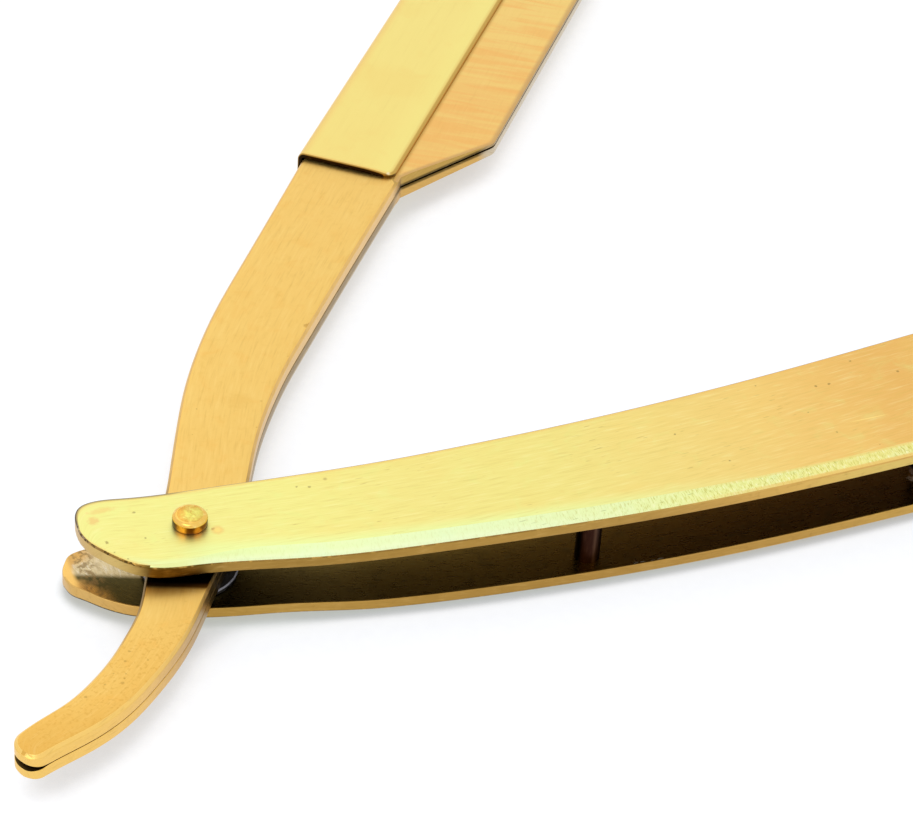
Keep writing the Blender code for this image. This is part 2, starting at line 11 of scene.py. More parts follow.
import bmesh
import bpy
import numpy as np
from mathutils import Matrix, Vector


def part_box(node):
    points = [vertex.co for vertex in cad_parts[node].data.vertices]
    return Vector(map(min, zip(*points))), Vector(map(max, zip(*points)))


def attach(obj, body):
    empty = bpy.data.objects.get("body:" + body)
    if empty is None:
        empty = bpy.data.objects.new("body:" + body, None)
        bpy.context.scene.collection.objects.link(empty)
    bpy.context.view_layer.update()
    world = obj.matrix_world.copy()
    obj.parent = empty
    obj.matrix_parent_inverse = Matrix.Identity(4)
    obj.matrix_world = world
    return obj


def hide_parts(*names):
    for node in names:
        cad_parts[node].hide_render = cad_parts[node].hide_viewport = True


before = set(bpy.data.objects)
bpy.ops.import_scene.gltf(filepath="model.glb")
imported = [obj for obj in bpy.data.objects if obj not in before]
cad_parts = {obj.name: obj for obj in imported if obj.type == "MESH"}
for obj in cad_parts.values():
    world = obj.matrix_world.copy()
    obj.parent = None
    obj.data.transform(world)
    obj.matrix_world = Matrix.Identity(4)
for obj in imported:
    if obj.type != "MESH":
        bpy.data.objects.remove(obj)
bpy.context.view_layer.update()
print("nodes:", sorted(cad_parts))

# %% [markdown]
# ## Camera
# The razor was photographed from in front and above, from about 0.36 m away with a long
# lens, and the camera leaned a little. A camera is an object that looks along its own -Z
# axis, so the three directions right, up and backwards are the columns of its rotation.

# %% Place the camera
MM = 0.001
CAMERA_PLACE = np.array((-85.79, -253.09, 234.79)) * MM
CAMERA_DOWN = math.radians(38.414)
CAMERA_AZIMUTH = math.radians(24.0)
CAMERA_LEAN = math.radians(4.109)
CAMERA_LENS = 144.66

ahead = np.array((math.sin(CAMERA_AZIMUTH) * math.cos(CAMERA_DOWN),
                  math.cos(CAMERA_AZIMUTH) * math.cos(CAMERA_DOWN), -math.sin(CAMERA_DOWN)))
level = np.array((math.cos(CAMERA_AZIMUTH), -math.sin(CAMERA_AZIMUTH), 0.0))
upward = np.cross(level, ahead)
right = math.cos(CAMERA_LEAN) * level + math.sin(CAMERA_LEAN) * upward
top = math.cos(CAMERA_LEAN) * upward - math.sin(CAMERA_LEAN) * level
turn = Matrix([[right[i], top[i], -ahead[i]] for i in range(3)])
camera_data = bpy.data.cameras.new("camera")
camera_data.lens = CAMERA_LENS
camera_data.sensor_width = 36.0
camera_data.sensor_fit = "HORIZONTAL"
camera_data.clip_start = 0.01
camera = bpy.data.objects.new("camera", camera_data)
camera.matrix_world = Matrix.Translation(CAMERA_PLACE.tolist()) @ turn.to_4x4()
bpy.context.scene.collection.objects.link(camera)
bpy.context.scene.camera = camera
print("camera is", round(float(np.linalg.norm(CAMERA_PLACE)), 3), "m from the pivot")

# %% [markdown]
# ## Light
# Polished metal shows what stands round it, so the studio is the metal's colour. A plain
# white world gives back each metal's own colour, and two soft lamps lift the bevel and the
# tip a little and give the shadow under the razor its direction.

# %% Light the studio
LAMPS = (("far_lamp", (0.02, 0.55, 0.60), 0.35, 0.15),
         ("near_lamp", (-0.35, -0.30, 0.70), 0.50, 1.0))
LAMP_TARGET = np.array((0.04, 0.02, 0.0))


def studio_light():
    """White world, and square lamps given as name, place, size and power, turned to the target."""
    scene = bpy.context.scene
    scene.view_settings.view_transform = "Standard"
    world = bpy.data.worlds.new("white_studio")
    world.use_nodes = True
    background = world.node_tree.nodes["Background"].inputs
    background["Color"].default_value = (1.0, 1.0, 1.0, 1.0)
    background["Strength"].default_value = 1.0
    scene.world = world
    for name, stand, size, power in LAMPS:
        lamp_data = bpy.data.lights.new(name, "AREA")
        lamp_data.size, lamp_data.energy = size, power
        lamp = bpy.data.objects.new(name, lamp_data)
        back = np.array(stand) - LAMP_TARGET
        back /= np.linalg.norm(back)
        side = np.cross((0.0, 0.0, 1.0), back)
        side /= np.linalg.norm(side)
        over = np.cross(back, side)
        columns = Matrix([[side[i], over[i], back[i]] for i in range(3)])
        lamp.location, lamp.rotation_mode = stand, "QUATERNION"
        lamp.rotation_quaternion = columns.to_quaternion()
        scene.collection.objects.link(lamp)


studio_light()


# %% [markdown]
# ## A small vocabulary for nodes
# Every finish below is a tree of shader nodes. One helper puts a node in a tree and feeds
# its sockets, and the others are the few nodes that come back in every finish.

# %% Helpers for node trees
X, Y, Z = range(3)
ORIGIN = (0.0, 0.0, 0.0)


def place(tree, kind, feeds=None, **settings):
    """Put a node in a tree; feeds gives a socket a value or another node's output."""
    made = tree.nodes.new(kind)
    for key, value in settings.items():
        setattr(made, key, value)
    for key, value in (feeds or {}).items():
        if isinstance(value, bpy.types.NodeSocket):
            tree.links.new(value, made.inputs[key])
        else:
            made.inputs[key].default_value = value
    return made


def arith(tree, operation, first, second):
    """One step of arithmetic between two numbers or sockets."""
    return place(tree, "ShaderNodeMath", {0: first, 1: second}, operation=operation).outputs[0]


def times(tree, *values):
    """Product of sockets and numbers; a factor of exactly 1 needs no node."""
    product = values[0]
    for value in values[1:]:
        if isinstance(value, bpy.types.NodeSocket) or value != 1.0:
            product = arith(tree, "MULTIPLY", product, value)
    return product


def vector_step(tree, operation, first, second=ORIGIN):
    """One step of vector arithmetic; a length and a dot product come out as numbers."""
    made = place(tree, "ShaderNodeVectorMath", {0: first, 1: second}, operation=operation)
    return made.outputs["Value" if operation in ("LENGTH", "DOT_PRODUCT") else "Vector"]


def part_of(tree, vector, axis):
    """One of a vector's three numbers."""
    return place(tree, "ShaderNodeSeparateXYZ", {0: vector}).outputs[axis]


def share_of(tree, value, low, high):
    """How far a value has come from low to high, evenly, from 0 to 1."""
    feeds = {"Value": value, "From Min": low, "From Max": high}
    return place(tree, "ShaderNodeMapRange", feeds).outputs[0]


def remap(tree, value, low, high, new_low=0.0, new_high=1.0):
    """Value carried smoothly from low..high to new_low..new_high."""
    feeds = {"Value": value, "From Min": low, "From Max": high, "To Min": new_low, "To Max": new_high}
    return place(tree, "ShaderNodeMapRange", feeds, interpolation_type="SMOOTHSTEP").outputs[0]


def noise(tree, vector, scale, detail, distortion=0.0):
    """Soft random values between 0 and 1, about scale of them per metre."""
    feeds = {"Vector": vector, "Scale": scale, "Detail": detail, "Distortion": distortion}
    return place(tree, "ShaderNodeTexNoise", feeds).outputs[0]


# %% [markdown]
# ## Colours as they are seen
# A colour is picked as it is seen, while shaders add up light, which is linear. One helper
# turns the first into the second. A ramp then carries a colour along a piece, which is how
# a plating that was polished by hand drifts from one end to the other, and how painted
# highlights and painted shade run along some of the pieces below.

# %% Helpers: colours
def blend_colour(tree, share, first, second):
    """Second colour laid over the first by a share."""
    return place(tree, "ShaderNodeMix", {0: share, 6: first, 7: second}, data_type="RGBA").outputs[2]


def seen(red, green, blue):
    """Linear colour for a colour written as it is seen, 0 to 255."""
    share = np.array((red, green, blue)) / 255.0
    linear = np.where(share <= 0.04045, share / 12.92, ((share + 0.055) / 1.055) ** 2.4)
    return (*[float(v) for v in linear], 1.0)


def colour_ramp(tree, share, stops, way="B_SPLINE"):
    """Colour that runs through stops of (share, seen colour)."""
    ramp = place(tree, "ShaderNodeValToRGB", {0: share})
    ramp.color_ramp.interpolation = way
    points = ramp.color_ramp.elements
    while len(points) < len(stops):
        points.new(0.5)
    for point, (where, colour) in zip(points, stops):
        point.position, point.color = where, seen(*colour)
    return ramp.outputs[0]


print("a seen gold of 240, 200, 120 is linear", [round(v, 3) for v in seen(240, 200, 120)])

# %% [markdown]
# ## Node groups
# A pattern that several finishes share is built once, as a group, and placed in each of
# them. It is the same as using one belt or one file on many pieces.

# %% Helper: start a node group
def start_group(name, inputs, outputs):
    """A node group whose inputs are vectors and numbers; gives the tree, inputs and output node."""
    group = bpy.data.node_groups.new(name, "ShaderNodeTree")
    for label, value in inputs.items():
        kind = "NodeSocketVector" if isinstance(value, tuple) else "NodeSocketFloat"
        group.interface.new_socket(label, in_out="INPUT", socket_type=kind).default_value = value
    for label in outputs:
        group.interface.new_socket(label, in_out="OUTPUT", socket_type="NodeSocketFloat")
    return group, group.nodes.new("NodeGroupInput").outputs, group.nodes.new("NodeGroupOutput").inputs


# %% [markdown]
# ## Brushed grain
# A belt leaves fine scratches that run one way. Noise stretched hard along one direction
# looks like that: the same noise is read slowly along the piece and quickly across it. A
# second, coarser layer keeps the lines from looking combed.

# %% Group: brushed grain
PER_METRE = 1000.0


def make_grain():
    """Lines around 0.5: half of them coarse and long, half of them fine."""
    group, given, out = start_group(
        "brushed grain", {"Vector": ORIGIN, "Lines per mm": 9.0, "Length of a line in mm": 6.0},
        ("Lines", "Fine Lines"))
    split = place(group, "ShaderNodeSeparateXYZ", {0: given["Vector"]}).outputs
    across = times(group, split[1], PER_METRE, given["Lines per mm"])
    along = arith(group, "DIVIDE", times(group, split[0], PER_METRE), given["Length of a line in mm"])
    coarse = place(group, "ShaderNodeCombineXYZ", {0: along, 1: times(group, across, 0.35)}).outputs[0]
    fine = place(group, "ShaderNodeCombineXYZ", {0: times(group, along, 1.7), 1: across, 2: split[2]})
    fine_lines = noise(group, fine.outputs[0], 1.0, 1.0)
    lines = arith(group, "ADD", times(group, noise(group, coarse, 1.0, 2.0), 0.5),
                  times(group, fine_lines, 0.5))
    group.links.new(lines, out["Lines"])
    group.links.new(fine_lines, out["Fine Lines"])
    return group


GRAIN = make_grain()
print("group:", GRAIN.name)


# %% [markdown]
# ## Pits, spots and worn edges
# Plated brass gets pin pricks where the plating lifts, single stains, and rims that are
# rubbed paler or gather grime. Pits are cells of a Voronoi pattern, of which only a few are
# kept. A spot is a distance from a place on the piece, made ragged with noise; spots lay the
# stains, and the painted highlights, shadows and reflections too. A worn edge reads the
# distance to the piece's edge, which each new mesh below carries as an attribute.

# %% Groups: pits, spot and edge
def make_pits():
    """Mask of small round pits: near a cell's centre, in the few cells that are kept."""
    group, given, out = start_group(
        "pits", {"Vector": ORIGIN, "Cells per mm": 0.5, "Share Kept": 0.2, "Size": 0.12}, ("Mask",))
    grown = vector_step(group, "MULTIPLY", given["Vector"], (PER_METRE, PER_METRE, PER_METRE))
    scaled = place(group, "ShaderNodeVectorMath", {0: grown, "Scale": given["Cells per mm"]},
                   operation="SCALE")
    cells = place(group, "ShaderNodeTexVoronoi", {"Vector": scaled.outputs[0], "Scale": 1.0})
    tone = place(group, "ShaderNodeSeparateColor", {0: cells.outputs["Color"]}).outputs
    kept = arith(group, "LESS_THAN", tone[0], given["Share Kept"])
    size = times(group, given["Size"], arith(group, "ADD", tone[1], 0.35))
    near = share_of(group, cells.outputs["Distance"], size, 0.0)
    group.links.new(times(group, near, kept), out["Mask"])
    return group


def wobble(group, given, scale, detail):
    """Noise about 0, as strong as the group's raggedness."""
    about_zero = arith(group, "SUBTRACT", noise(group, given["Vector"], scale, detail), 0.5)
    return times(group, about_zero, given["Raggedness"])


def make_spot():
    """Mask round one place: 1 at its centre, 0 beyond its radius, with a ragged rim."""
    group, given, out = start_group(
        "spot", {"Vector": ORIGIN, "Centre": ORIGIN, "Stretch": (1.0, 1.0, 1.0), "Radius": 0.001,
                 "Raggedness": 0.3}, ("Mask",))
    offset = vector_step(group, "SUBTRACT", given["Vector"], given["Centre"])
    distance = vector_step(group, "LENGTH", vector_step(group, "MULTIPLY", offset, given["Stretch"]))
    share = arith(group, "DIVIDE", distance, given["Radius"])
    ragged = arith(group, "ADD", share, times(group, wobble(group, given, 2600.0, 3.0), 3.0))
    group.links.new(remap(group, ragged, 1.0, 0.3), out["Mask"])
    return group


def make_edge():
    """Mask along a piece's edges, from the distance that the mesh carries, in mm."""
    group, given, out = start_group(
        "edge", {"Vector": ORIGIN, "Distance": 1.0, "Reach": 0.2, "Raggedness": 0.5}, ("Mask",))
    share = arith(group, "DIVIDE", given["Distance"], given["Reach"])
    ragged = arith(group, "ADD", share, wobble(group, given, 1400.0, 4.0))
    group.links.new(remap(group, ragged, 1.0, 0.25), out["Mask"])
    return group


PITS, SPOT, EDGE = make_pits(), make_spot(), make_edge()
print("groups:", PITS.name, SPOT.name, EDGE.name)


# %% [markdown]
# ## One recipe for the golds
# Each face of the razor is the same brass, ground another way. So one class lays the
# layers in the order of the real surface: a base colour that drifts from one end of the
# piece to the other, grain, cloudy patches, pits, and worn or dirty edges. The colours are
# written as they are seen, and each zone of a piece gives its own values.

# %% Recipe: brushed gold
PIT_DEPTH = 0.2


class Finish:
    """A material as it is built up: its tree, its coordinates and its colour so far."""

    def __init__(self, name, roughness=0.3):
        self.material = bpy.data.materials.new(name)
        self.material.use_nodes = True
        self.tree = self.material.node_tree
        self.along = place(self.tree, "ShaderNodeUVMap", uv_map="run").outputs[0]
        self.object = place(self.tree, "ShaderNodeTexCoord").outputs["Object"]
        self.edge, self.front = self.carried("edge_gap"), self.carried("front_gap")
        self.colour, self.roughness, self.height = None, roughness, 0.0

    def carried(self, label):
        """A distance in mm that the mesh carries."""
        return place(self.tree, "ShaderNodeAttribute", attribute_name=label).outputs["Fac"]

    def drift(self, stops, axis=X, low=-0.0105, high=0.134):
        """Base colour that changes along an axis of the row frame, through the stops."""
        share = share_of(self.tree, part_of(self.tree, self.object, axis), low, high)
        self.colour = colour_ramp(self.tree, share, stops)

    def fade(self, value, low, high):
        """Mask that climbs from 0 where a value is low to 1 where it is high."""
        return remap(self.tree, value, low, high)

    def beyond(self, axis, start, end, low=0.0, high=1.0):
        """Mask that climbs from low at start to high at end, in mm along an axis or a direction."""
        if isinstance(axis, tuple):
            reach = vector_step(self.tree, "DOT_PRODUCT", self.object, axis)
        else:
            reach = part_of(self.tree, self.object, axis)
        return remap(self.tree, reach, start * MM, end * MM, low, high)

    def both(self, *masks):
        """Where all of the masks are."""
        return times(self.tree, *masks)

    def lay(self, colour, strength, *masks):
        """Lay a colour, by a strength, where all of the masks are."""
        share = times(self.tree, *masks, strength)
        self.colour = blend_colour(self.tree, share, self.colour, seen(*colour))

    def clouds(self, size_mm, low, high, twist):
        """Mask of soft patches of about that size."""
        return self.fade(noise(self.tree, self.object, PER_METRE / size_mm, 4.0, twist), low, high)

    def patches(self, colour, strength, size_mm, low, high, twist=0.0):
        """Lay a colour in soft patches."""
        self.lay(colour, strength, self.clouds(size_mm, low, high, twist))

    def across(self):
        """The piece's own coordinates with along and across changed over."""
        swapped = place(self.tree, "ShaderNodeSeparateXYZ", {0: self.along}).outputs
        return place(self.tree, "ShaderNodeCombineXYZ", {0: swapped[1], 1: swapped[0]}).outputs[0]

    def mask_of(self, group, output="Mask", **feeds):
        """An output of a node group placed with these feeds, whose names have _ for a space."""
        named = {label.replace("_", " "): value for label, value in feeds.items()}
        return place(self.tree, "ShaderNodeGroup", named, node_tree=group).outputs[output]

    def lines(self, per_mm, length, vector=None, output="Lines"):
        """Brushed lines around 0.5."""
        return self.mask_of(GRAIN, output, Vector=vector or self.along, Lines_per_mm=per_mm,
                            Length_of_a_line_in_mm=length)

    def grain(self, lines, length, contrast, light, dark, bump):
        """Brushed lines: they tint the colour both ways and stand in the height."""
        value = self.lines(lines, length)
        self.lay(light, contrast, self.fade(value, 0.5, 0.72))
        self.lay(dark, contrast, self.fade(value, 0.5, 0.28))
        self.height = arith(self.tree, "ADD", self.height, times(self.tree, value, bump))
        self.roughness = arith(self.tree, "ADD", self.roughness, times(self.tree, value, 0.08))

    def spot(self, centre, radius_mm, colour, strength, stretch=(1.0, 1.0, 1.0), ragged=0.3):
        """One spot of colour at a place given in mm in the row frame, for stains and painted light."""
        self.lay(colour, strength, self.mask_of(
            SPOT, Vector=self.object, Centre=tuple(v * MM for v in centre), Stretch=stretch,
            Radius=radius_mm * MM, Raggedness=ragged))

    def pits(self, cells, kept, size, colour, strength):
        """Scattered pin pricks, sunk a little."""
        mask = self.mask_of(PITS, Vector=self.object, Cells_per_mm=cells, Share_Kept=kept, Size=size)
        self.lay(colour, strength, mask)
        self.height = arith(self.tree, "SUBTRACT", self.height, times(self.tree, mask, PIT_DEPTH))

    def near_edge(self, reach, ragged):
        """Ragged mask along the piece's edges."""
        return self.mask_of(EDGE, Vector=self.object, Distance=self.edge, Reach=reach,
                            Raggedness=ragged)

    def worn(self, reach, colour, strength, ragged=0.5):
        """Colour along the piece's edges; gives its mask."""
        mask = self.near_edge(reach, ragged)
        self.lay(colour, strength, mask)
        return mask

    def done(self, bump_mm=0.01, metallic=1.0):
        """Feed the shader and give the material."""
        feeds = {"Base Color": self.colour, "Metallic": metallic, "Roughness": self.roughness}
        if isinstance(self.height, bpy.types.NodeSocket):
            feeds["Normal"] = place(self.tree, "ShaderNodeBump", {
                "Height": self.height, "Strength": 1.0, "Distance": bump_mm * MM}).outputs[0]
        shader = self.tree.nodes["Principled BSDF"].inputs
        for label, value in feeds.items():
            if isinstance(value, bpy.types.NodeSocket):
                self.tree.links.new(value, shader[label])
            else:
                shader[label].default_value = value
        return self.material


# %% [markdown]
# ## Finishes of the handle
# The scales' faces are belt ground lengthwise. Their greenish yellow near the pivot is a
# painted highlight, which gives way to a warm orange gold towards the butt. The bevelled band
# along the front edge was ground across, so it glitters in fine cross lines; its much paler,
# greenish tone is a painted highlight too. The cut walls are duller and browner, and the
# inner faces were never polished: they are olive brown, kept dark as painted shade.

# %% Material: faces of the scales
FACE_Z, BOWED_FACE_Z = 8.0, 8.46
# Marks: place in mm along and across the handle, and radius in mm.
FACE_PITS = ((-4.55, 3.09, 0.20), (-8.32, -0.26, 0.24), (-4.65, -0.76, 0.12), (-8.10, -1.81, 0.16),
             (-8.10, -2.70, 0.20), (-7.80, -2.95, 0.18), (-7.13, -3.14, 0.14), (1.85, -1.44, 0.24),
             (2.17, 1.40, 0.12), (12.69, 1.58, 0.22), (11.48, 2.01, 0.16), (49.78, -2.10, 0.13),
             (53.28, -7.50, 0.13), (60.80, 2.59, 0.16), (66.64, 0.73, 0.18), (68.10, 0.65, 0.22),
             (71.93, 3.42, 0.18), (75.80, 0.40, 0.18), (64.09, -2.89, 0.10), (65.45, -6.66, 0.18),
             (68.70, -9.71, 0.10))
# Stains and gleams, with a painted reflection (orange) and a painted contact shadow (brown)
# round the rivet's foot: place, radius, colour, strength, stretch and raggedness.
ROUND = (1.0, 1.0, 1.0)
FACE_STAINS_AND_PAINTED_LIGHT = (((2.2, -1.7, FACE_Z), 0.85, (240, 178, 92), 0.5, ROUND, 0.1),
               ((2.2, -1.7, FACE_Z), 0.5, (250, 226, 132), 0.75, ROUND, 0.1),
               ((-8.64, 3.1, FACE_Z), 0.75, (236, 186, 116), 0.55),
               ((-7.45, 4.36, FACE_Z), 0.9, (238, 196, 116), 0.45, (0.5, 1.6, 1.0)),
               ((0.0, -0.35, FACE_Z), 2.15, (236, 168, 70), 0.4, ROUND, 0.1),
               ((-0.1, -0.2, FACE_Z), 1.85, (140, 88, 26), 0.6, ROUND, 0.05),
               ((69.5, -5.6, BOWED_FACE_Z), 2.8, (255, 226, 140), 0.75, (1.0, 24.0, 1.0), 0.05))


def scale_face():
    """Ground outer face of a scale: marks of use, a painted highlight along it, painted light by the
    rivet.
    """
    gold = Finish("scale_face_gold", 0.38)
    # Painted highlight: greenish yellow near the pivot, fading to orange gold towards the butt.
    gold.drift([(0.0, (238, 234, 146)), (0.15, (240, 233, 141)), (0.22, (239, 224, 136)),
                (0.29, (240, 229, 138)), (0.36, (241, 223, 134)), (0.44, (242, 213, 127)),
                (0.52, (242, 200, 115)), (0.6, (234, 184, 101)), (1.0, (230, 177, 96))])
    gold.patches((246, 214, 122), 0.22, 7.0, 0.45, 0.75)
    gold.patches((228, 242, 152), 0.22, 2.4, 0.52, 0.8, 0.6)
    gold.patches((236, 206, 118), 0.22, 1.1, 0.55, 0.85, 0.3)
    # Painted highlight: a pale green glow along the front edge where the band begins, and at the tip.
    gold.lay((234, 247, 168), 0.75, gold.fade(gold.front, 3.6, 1.7), gold.beyond(X, -5.0, 1.0),
             gold.beyond(X, 62.0, 30.0))
    gold.lay((232, 244, 178), 0.8, gold.fade(gold.front, 1.5, 0.5), gold.beyond(X, -8.0, -5.0))
    gold.grain(8.0, 4.0, 0.27, (255, 250, 190), (208, 184, 92), 0.5)
    scratches = gold.fade(gold.lines(5.0, 2.6, output="Fine Lines"), 0.66, 0.74)
    gold.lay((196, 170, 84), 0.55, scratches, gold.clouds(5.0, 0.5, 0.6, 0.2))
    gold.worn(0.55, (238, 186, 98), 0.45)
    gold.lay((150, 132, 96), 0.8, gold.fade(gold.edge, 0.34, 0.16), gold.beyond(Y, 1.4, 2.6),
             gold.beyond(X, 1.5, -1.0))
    gold.pits(0.42, 0.1, 0.09, (150, 112, 44), 0.6)
    for x, y, radius in FACE_PITS:
        height = FACE_Z if x < 30.0 else BOWED_FACE_Z
        gold.spot((x, y, height), radius, (128, 102, 48), 0.55, ragged=0.8)
    # Stains and gleams, and the painted reflection and painted shadow round the rivet.
    for stain_and_painted_light in FACE_STAINS_AND_PAINTED_LIGHT:
        gold.spot(*stain_and_painted_light)
    return gold.done(bump_mm=0.006)


# %% [markdown]
# ## The bevelled band and the rims
# The band was ground across the plate, so its grain is read with along and across changed
# over. Its lines get stronger towards the butt, and its pale greenish tone is a painted
# highlight. A brown line runs along the front rim, and the back rim turns grey at the tip.

# %% Materials: band and rims
def scale_band():
    """Bevelled band, ground across, pale as a painted highlight; towards the butt its cross lines show
    more.
    """
    gold = Finish("scale_band_gold")
    # Painted highlight: the band's pale greenish tones, palest near its lip.
    gold.drift([(0.0, (234, 242, 158)), (0.1, (229, 246, 176)), (0.16, (234, 247, 186)),
                (0.23, (232, 248, 192)), (0.31, (234, 248, 188)), (0.41, (236, 243, 160)),
                (0.52, (240, 231, 142)), (1.0, (238, 224, 130))])
    gold.lay((242, 252, 210), 0.55, gold.fade(gold.front, 1.2, 0.2), gold.beyond(X, 50.0, 25.0))
    gold.lay((248, 240, 150), 0.35, gold.fade(gold.front, 1.25, 0.75), gold.beyond(X, 40.0, 55.0))
    gold.patches((226, 250, 206), 0.3, 3.0, 0.5, 0.75)
    value = gold.lines(11.0, 0.8, gold.across())
    strong = gold.beyond(X, 20.0, 58.0, 0.18, 0.85)
    gold.lay((255, 255, 214), 0.8, gold.fade(value, 0.52, 0.68), strong)
    gold.lay((196, 188, 82), 0.8, gold.fade(value, 0.5, 0.36), strong)
    gold.lay((236, 240, 158), 0.8, gold.beyond(X, 0.5, -3.5))
    gold.lay((238, 198, 112), 0.85, gold.fade(gold.front, 0.62, 0.35), gold.beyond(X, 44.0, 62.0))
    gold.lay((240, 216, 128), 0.8, gold.fade(gold.front, 1.5, 1.7), gold.beyond(X, 44.0, 62.0))
    nicks = gold.fade(gold.lines(4.0, 3.0, output="Fine Lines"), 0.68, 0.74)
    gold.lay((150, 156, 84), 0.5, nicks, gold.beyond(X, 22.0, 34.0))
    gold.height = value
    return gold.done(bump_mm=0.006)


def scale_rim():
    """Eased rims of a scale: a brown line along the front, and grey along the back rim at the tip."""
    gold = Finish("scale_rim_gold")
    gold.drift([(0.0, (148, 114, 54)), (0.4, (148, 114, 54)), (0.62, (162, 146, 130)),
                (1.0, (158, 146, 138))], axis=Y, low=-0.004, high=0.006)
    gold.lay((222, 178, 98), 0.85, gold.beyond(X, 26.0, 60.0), gold.beyond(Y, 0.0, -4.0))
    gold.lay((96, 74, 24), 0.9, gold.beyond(X, 2.0, -1.0), gold.beyond(X, -6.6, -5.4))
    gold.patches((206, 164, 84), 0.6, 0.6, 0.5, 0.66)
    gold.lay((64, 48, 18), 0.9, gold.clouds(0.35, 0.5, 0.62, 0.4), gold.beyond(X, -5.5, -6.5))
    gold.lay((84, 74, 56), 0.95, gold.beyond(X, 4.0, -6.0), gold.beyond(Y, 2.4, 3.6))
    gold.grain(6.0, 3.0, 0.2, (224, 186, 118), (90, 66, 26), 0.3)
    return gold.done(bump_mm=0.006)


# %% [markdown]
# ## Walls and inner faces
# The walls are sawn and filed, and their tone changes along the handle with the light that
# reaches them, so each scale gives its own stops of painted light and shade. The inner faces
# were left as rolled brass and are kept dark as painted shade between the scales; at the
# tip a pale grey painted reflection with a crisp edge lies on them. Only along the edge of
# the tip did gold run in when the scale was plated.

# %% Materials: walls and inner faces
TOWARDS_BACK = (0.352, 0.936, 0.0)
BOWED_INSIDE_Z = 1.63
INSIDE_GLINTS = ((41.93, -11.7, 0.32), (42.7, -11.84, 0.42), (43.71, -11.99, 0.4),
                 (44.44, -11.94, 0.34))


def scale_wall(name, stops):
    """Sawn and filed edge of a scale."""
    gold = Finish(name)
    gold.drift(stops)
    gold.patches((240, 194, 112), 0.22, 1.6, 0.5, 0.8)
    gold.patches((150, 112, 50), 0.28, 0.7, 0.55, 0.8, 0.4)
    gold.grain(9.0, 2.2, 0.32, (250, 210, 130), (150, 112, 52), 0.6)
    gold.worn(0.1, (136, 102, 44), 0.4, 0.8)
    return gold.done(bump_mm=0.008)


def scale_inside(name, stops):
    """Unpolished olive brown inner face of a scale, kept dark as painted shade: a pale grey painted
    reflection at the tip, and gold that ran in over the edge when the scale was plated."""
    brass = Finish(name, 0.24)
    brass.drift(stops)
    brass.patches((70, 62, 26), 0.35, 1.6, 0.45, 0.8)
    brass.patches((120, 106, 56), 0.3, 0.5, 0.5, 0.8)
    # Painted reflection: pale grey at the tip, with a crisp painted shadow edge and streaks across it.
    pale_reflection = brass.both(brass.beyond(X, -1.0, -3.5), brass.beyond(TOWARDS_BACK, -1.9, -1.1))
    streaks = brass.lines(7.0, 1.4, brass.across())
    brass.lay((222, 202, 158), 0.88, pale_reflection)
    brass.lay((226, 218, 200), 0.6, brass.fade(streaks, 0.5, 0.7), pale_reflection)
    brass.lay((150, 132, 96), 0.5, brass.fade(streaks, 0.5, 0.3), pale_reflection)
    brass.grain(6.0, 1.5, 0.3, (130, 118, 70), (52, 46, 20), 0.6)
    brass.lay((206, 160, 88), 0.95, brass.near_edge(2.3, 0.7), brass.beyond(X, -7.6, -9.6))
    brass.lay((134, 108, 66), 0.75, brass.clouds(0.6, 0.44, 0.6, 0.5), brass.beyond(X, -10.6, -10.0),
              brass.beyond(X, -7.6, -9.0))
    brass.lay((238, 192, 106), 0.95, brass.beyond(X, -10.5, -11.1))
    # Painted highlight: the lit side of the heel stop pin, beside it on the inner face.
    brass.spot((73.9, -8.3, BOWED_INSIDE_Z), 0.55, (250, 236, 214), 0.9)
    for x, y, radius in INSIDE_GLINTS:
        brass.spot((x, y, BOWED_INSIDE_Z), radius, (235, 235, 225), 0.9, (0.8, 1.6, 1.0), 0.6)
    brass.spot((34.95, -9.9, 6.9), 0.5, (235, 225, 180), 0.8, ragged=0.6)
    return brass.done(bump_mm=0.01)


# Stops of painted light and shade along the walls; the upper wall's near-black stretch is painted shade
# over the arm.
UPPER_WALL = [
    (0.0, (232, 190, 118)), (0.014, (250, 226, 146)), (0.026, (214, 176, 94)), (0.033, (70, 54, 16)),
    (0.042, (50, 36, 8)), (0.054, (38, 28, 7)), (0.064, (86, 66, 22)), (0.074, (140, 110, 46)),
    (0.090, (190, 150, 76)), (0.11, (178, 141, 68)), (0.13, (166, 130, 62)), (0.20, (186, 147, 71)),
    (0.27, (198, 156, 79)), (0.34, (190, 152, 77)), (0.41, (214, 170, 92)), (0.48, (255, 206, 110)),
    (0.54, (255, 232, 132)), (1.0, (255, 220, 124))]
LOWER_WALL = [
    (0.0, (250, 206, 126)), (0.03, (244, 192, 104)), (0.06, (214, 166, 84)), (0.08, (190, 152, 72)),
    (0.14, (214, 170, 86)), (0.22, (190, 148, 72)), (0.34, (196, 152, 76)), (0.48, (214, 168, 88)),
    (0.56, (228, 184, 94)), (1.0, (230, 186, 96))]
# Inner faces: brass tones kept dark as painted shade between the scales.
UPPER_INSIDE = [
    (0.0, (60, 48, 22)), (0.09, (60, 48, 22)), (0.15, (92, 74, 32)), (1.0, (100, 74, 28))]
LOWER_INSIDE = [
    (0.0, (84, 76, 42)), (0.06, (84, 76, 42)), (0.09, (104, 90, 42)), (0.16, (122, 102, 42)),
    (0.3, (150, 120, 44)), (0.42, (148, 108, 32)), (0.6, (140, 98, 28)), (1.0, (136, 96, 28))]
INSIDE, WALL, FACE, BAND, RIM = range(5)
SHARED = [scale_face(), scale_band(), scale_rim()]
SCALE_MATERIALS = {
    side: [scale_inside(name + "_inner_brass", inside), scale_wall(name + "_wall_gold", wall), *SHARED]
    for side, name, inside, wall in ((1, "upper", UPPER_INSIDE, UPPER_WALL),
                                     (-1, "lower", LOWER_INSIDE, LOWER_WALL))}
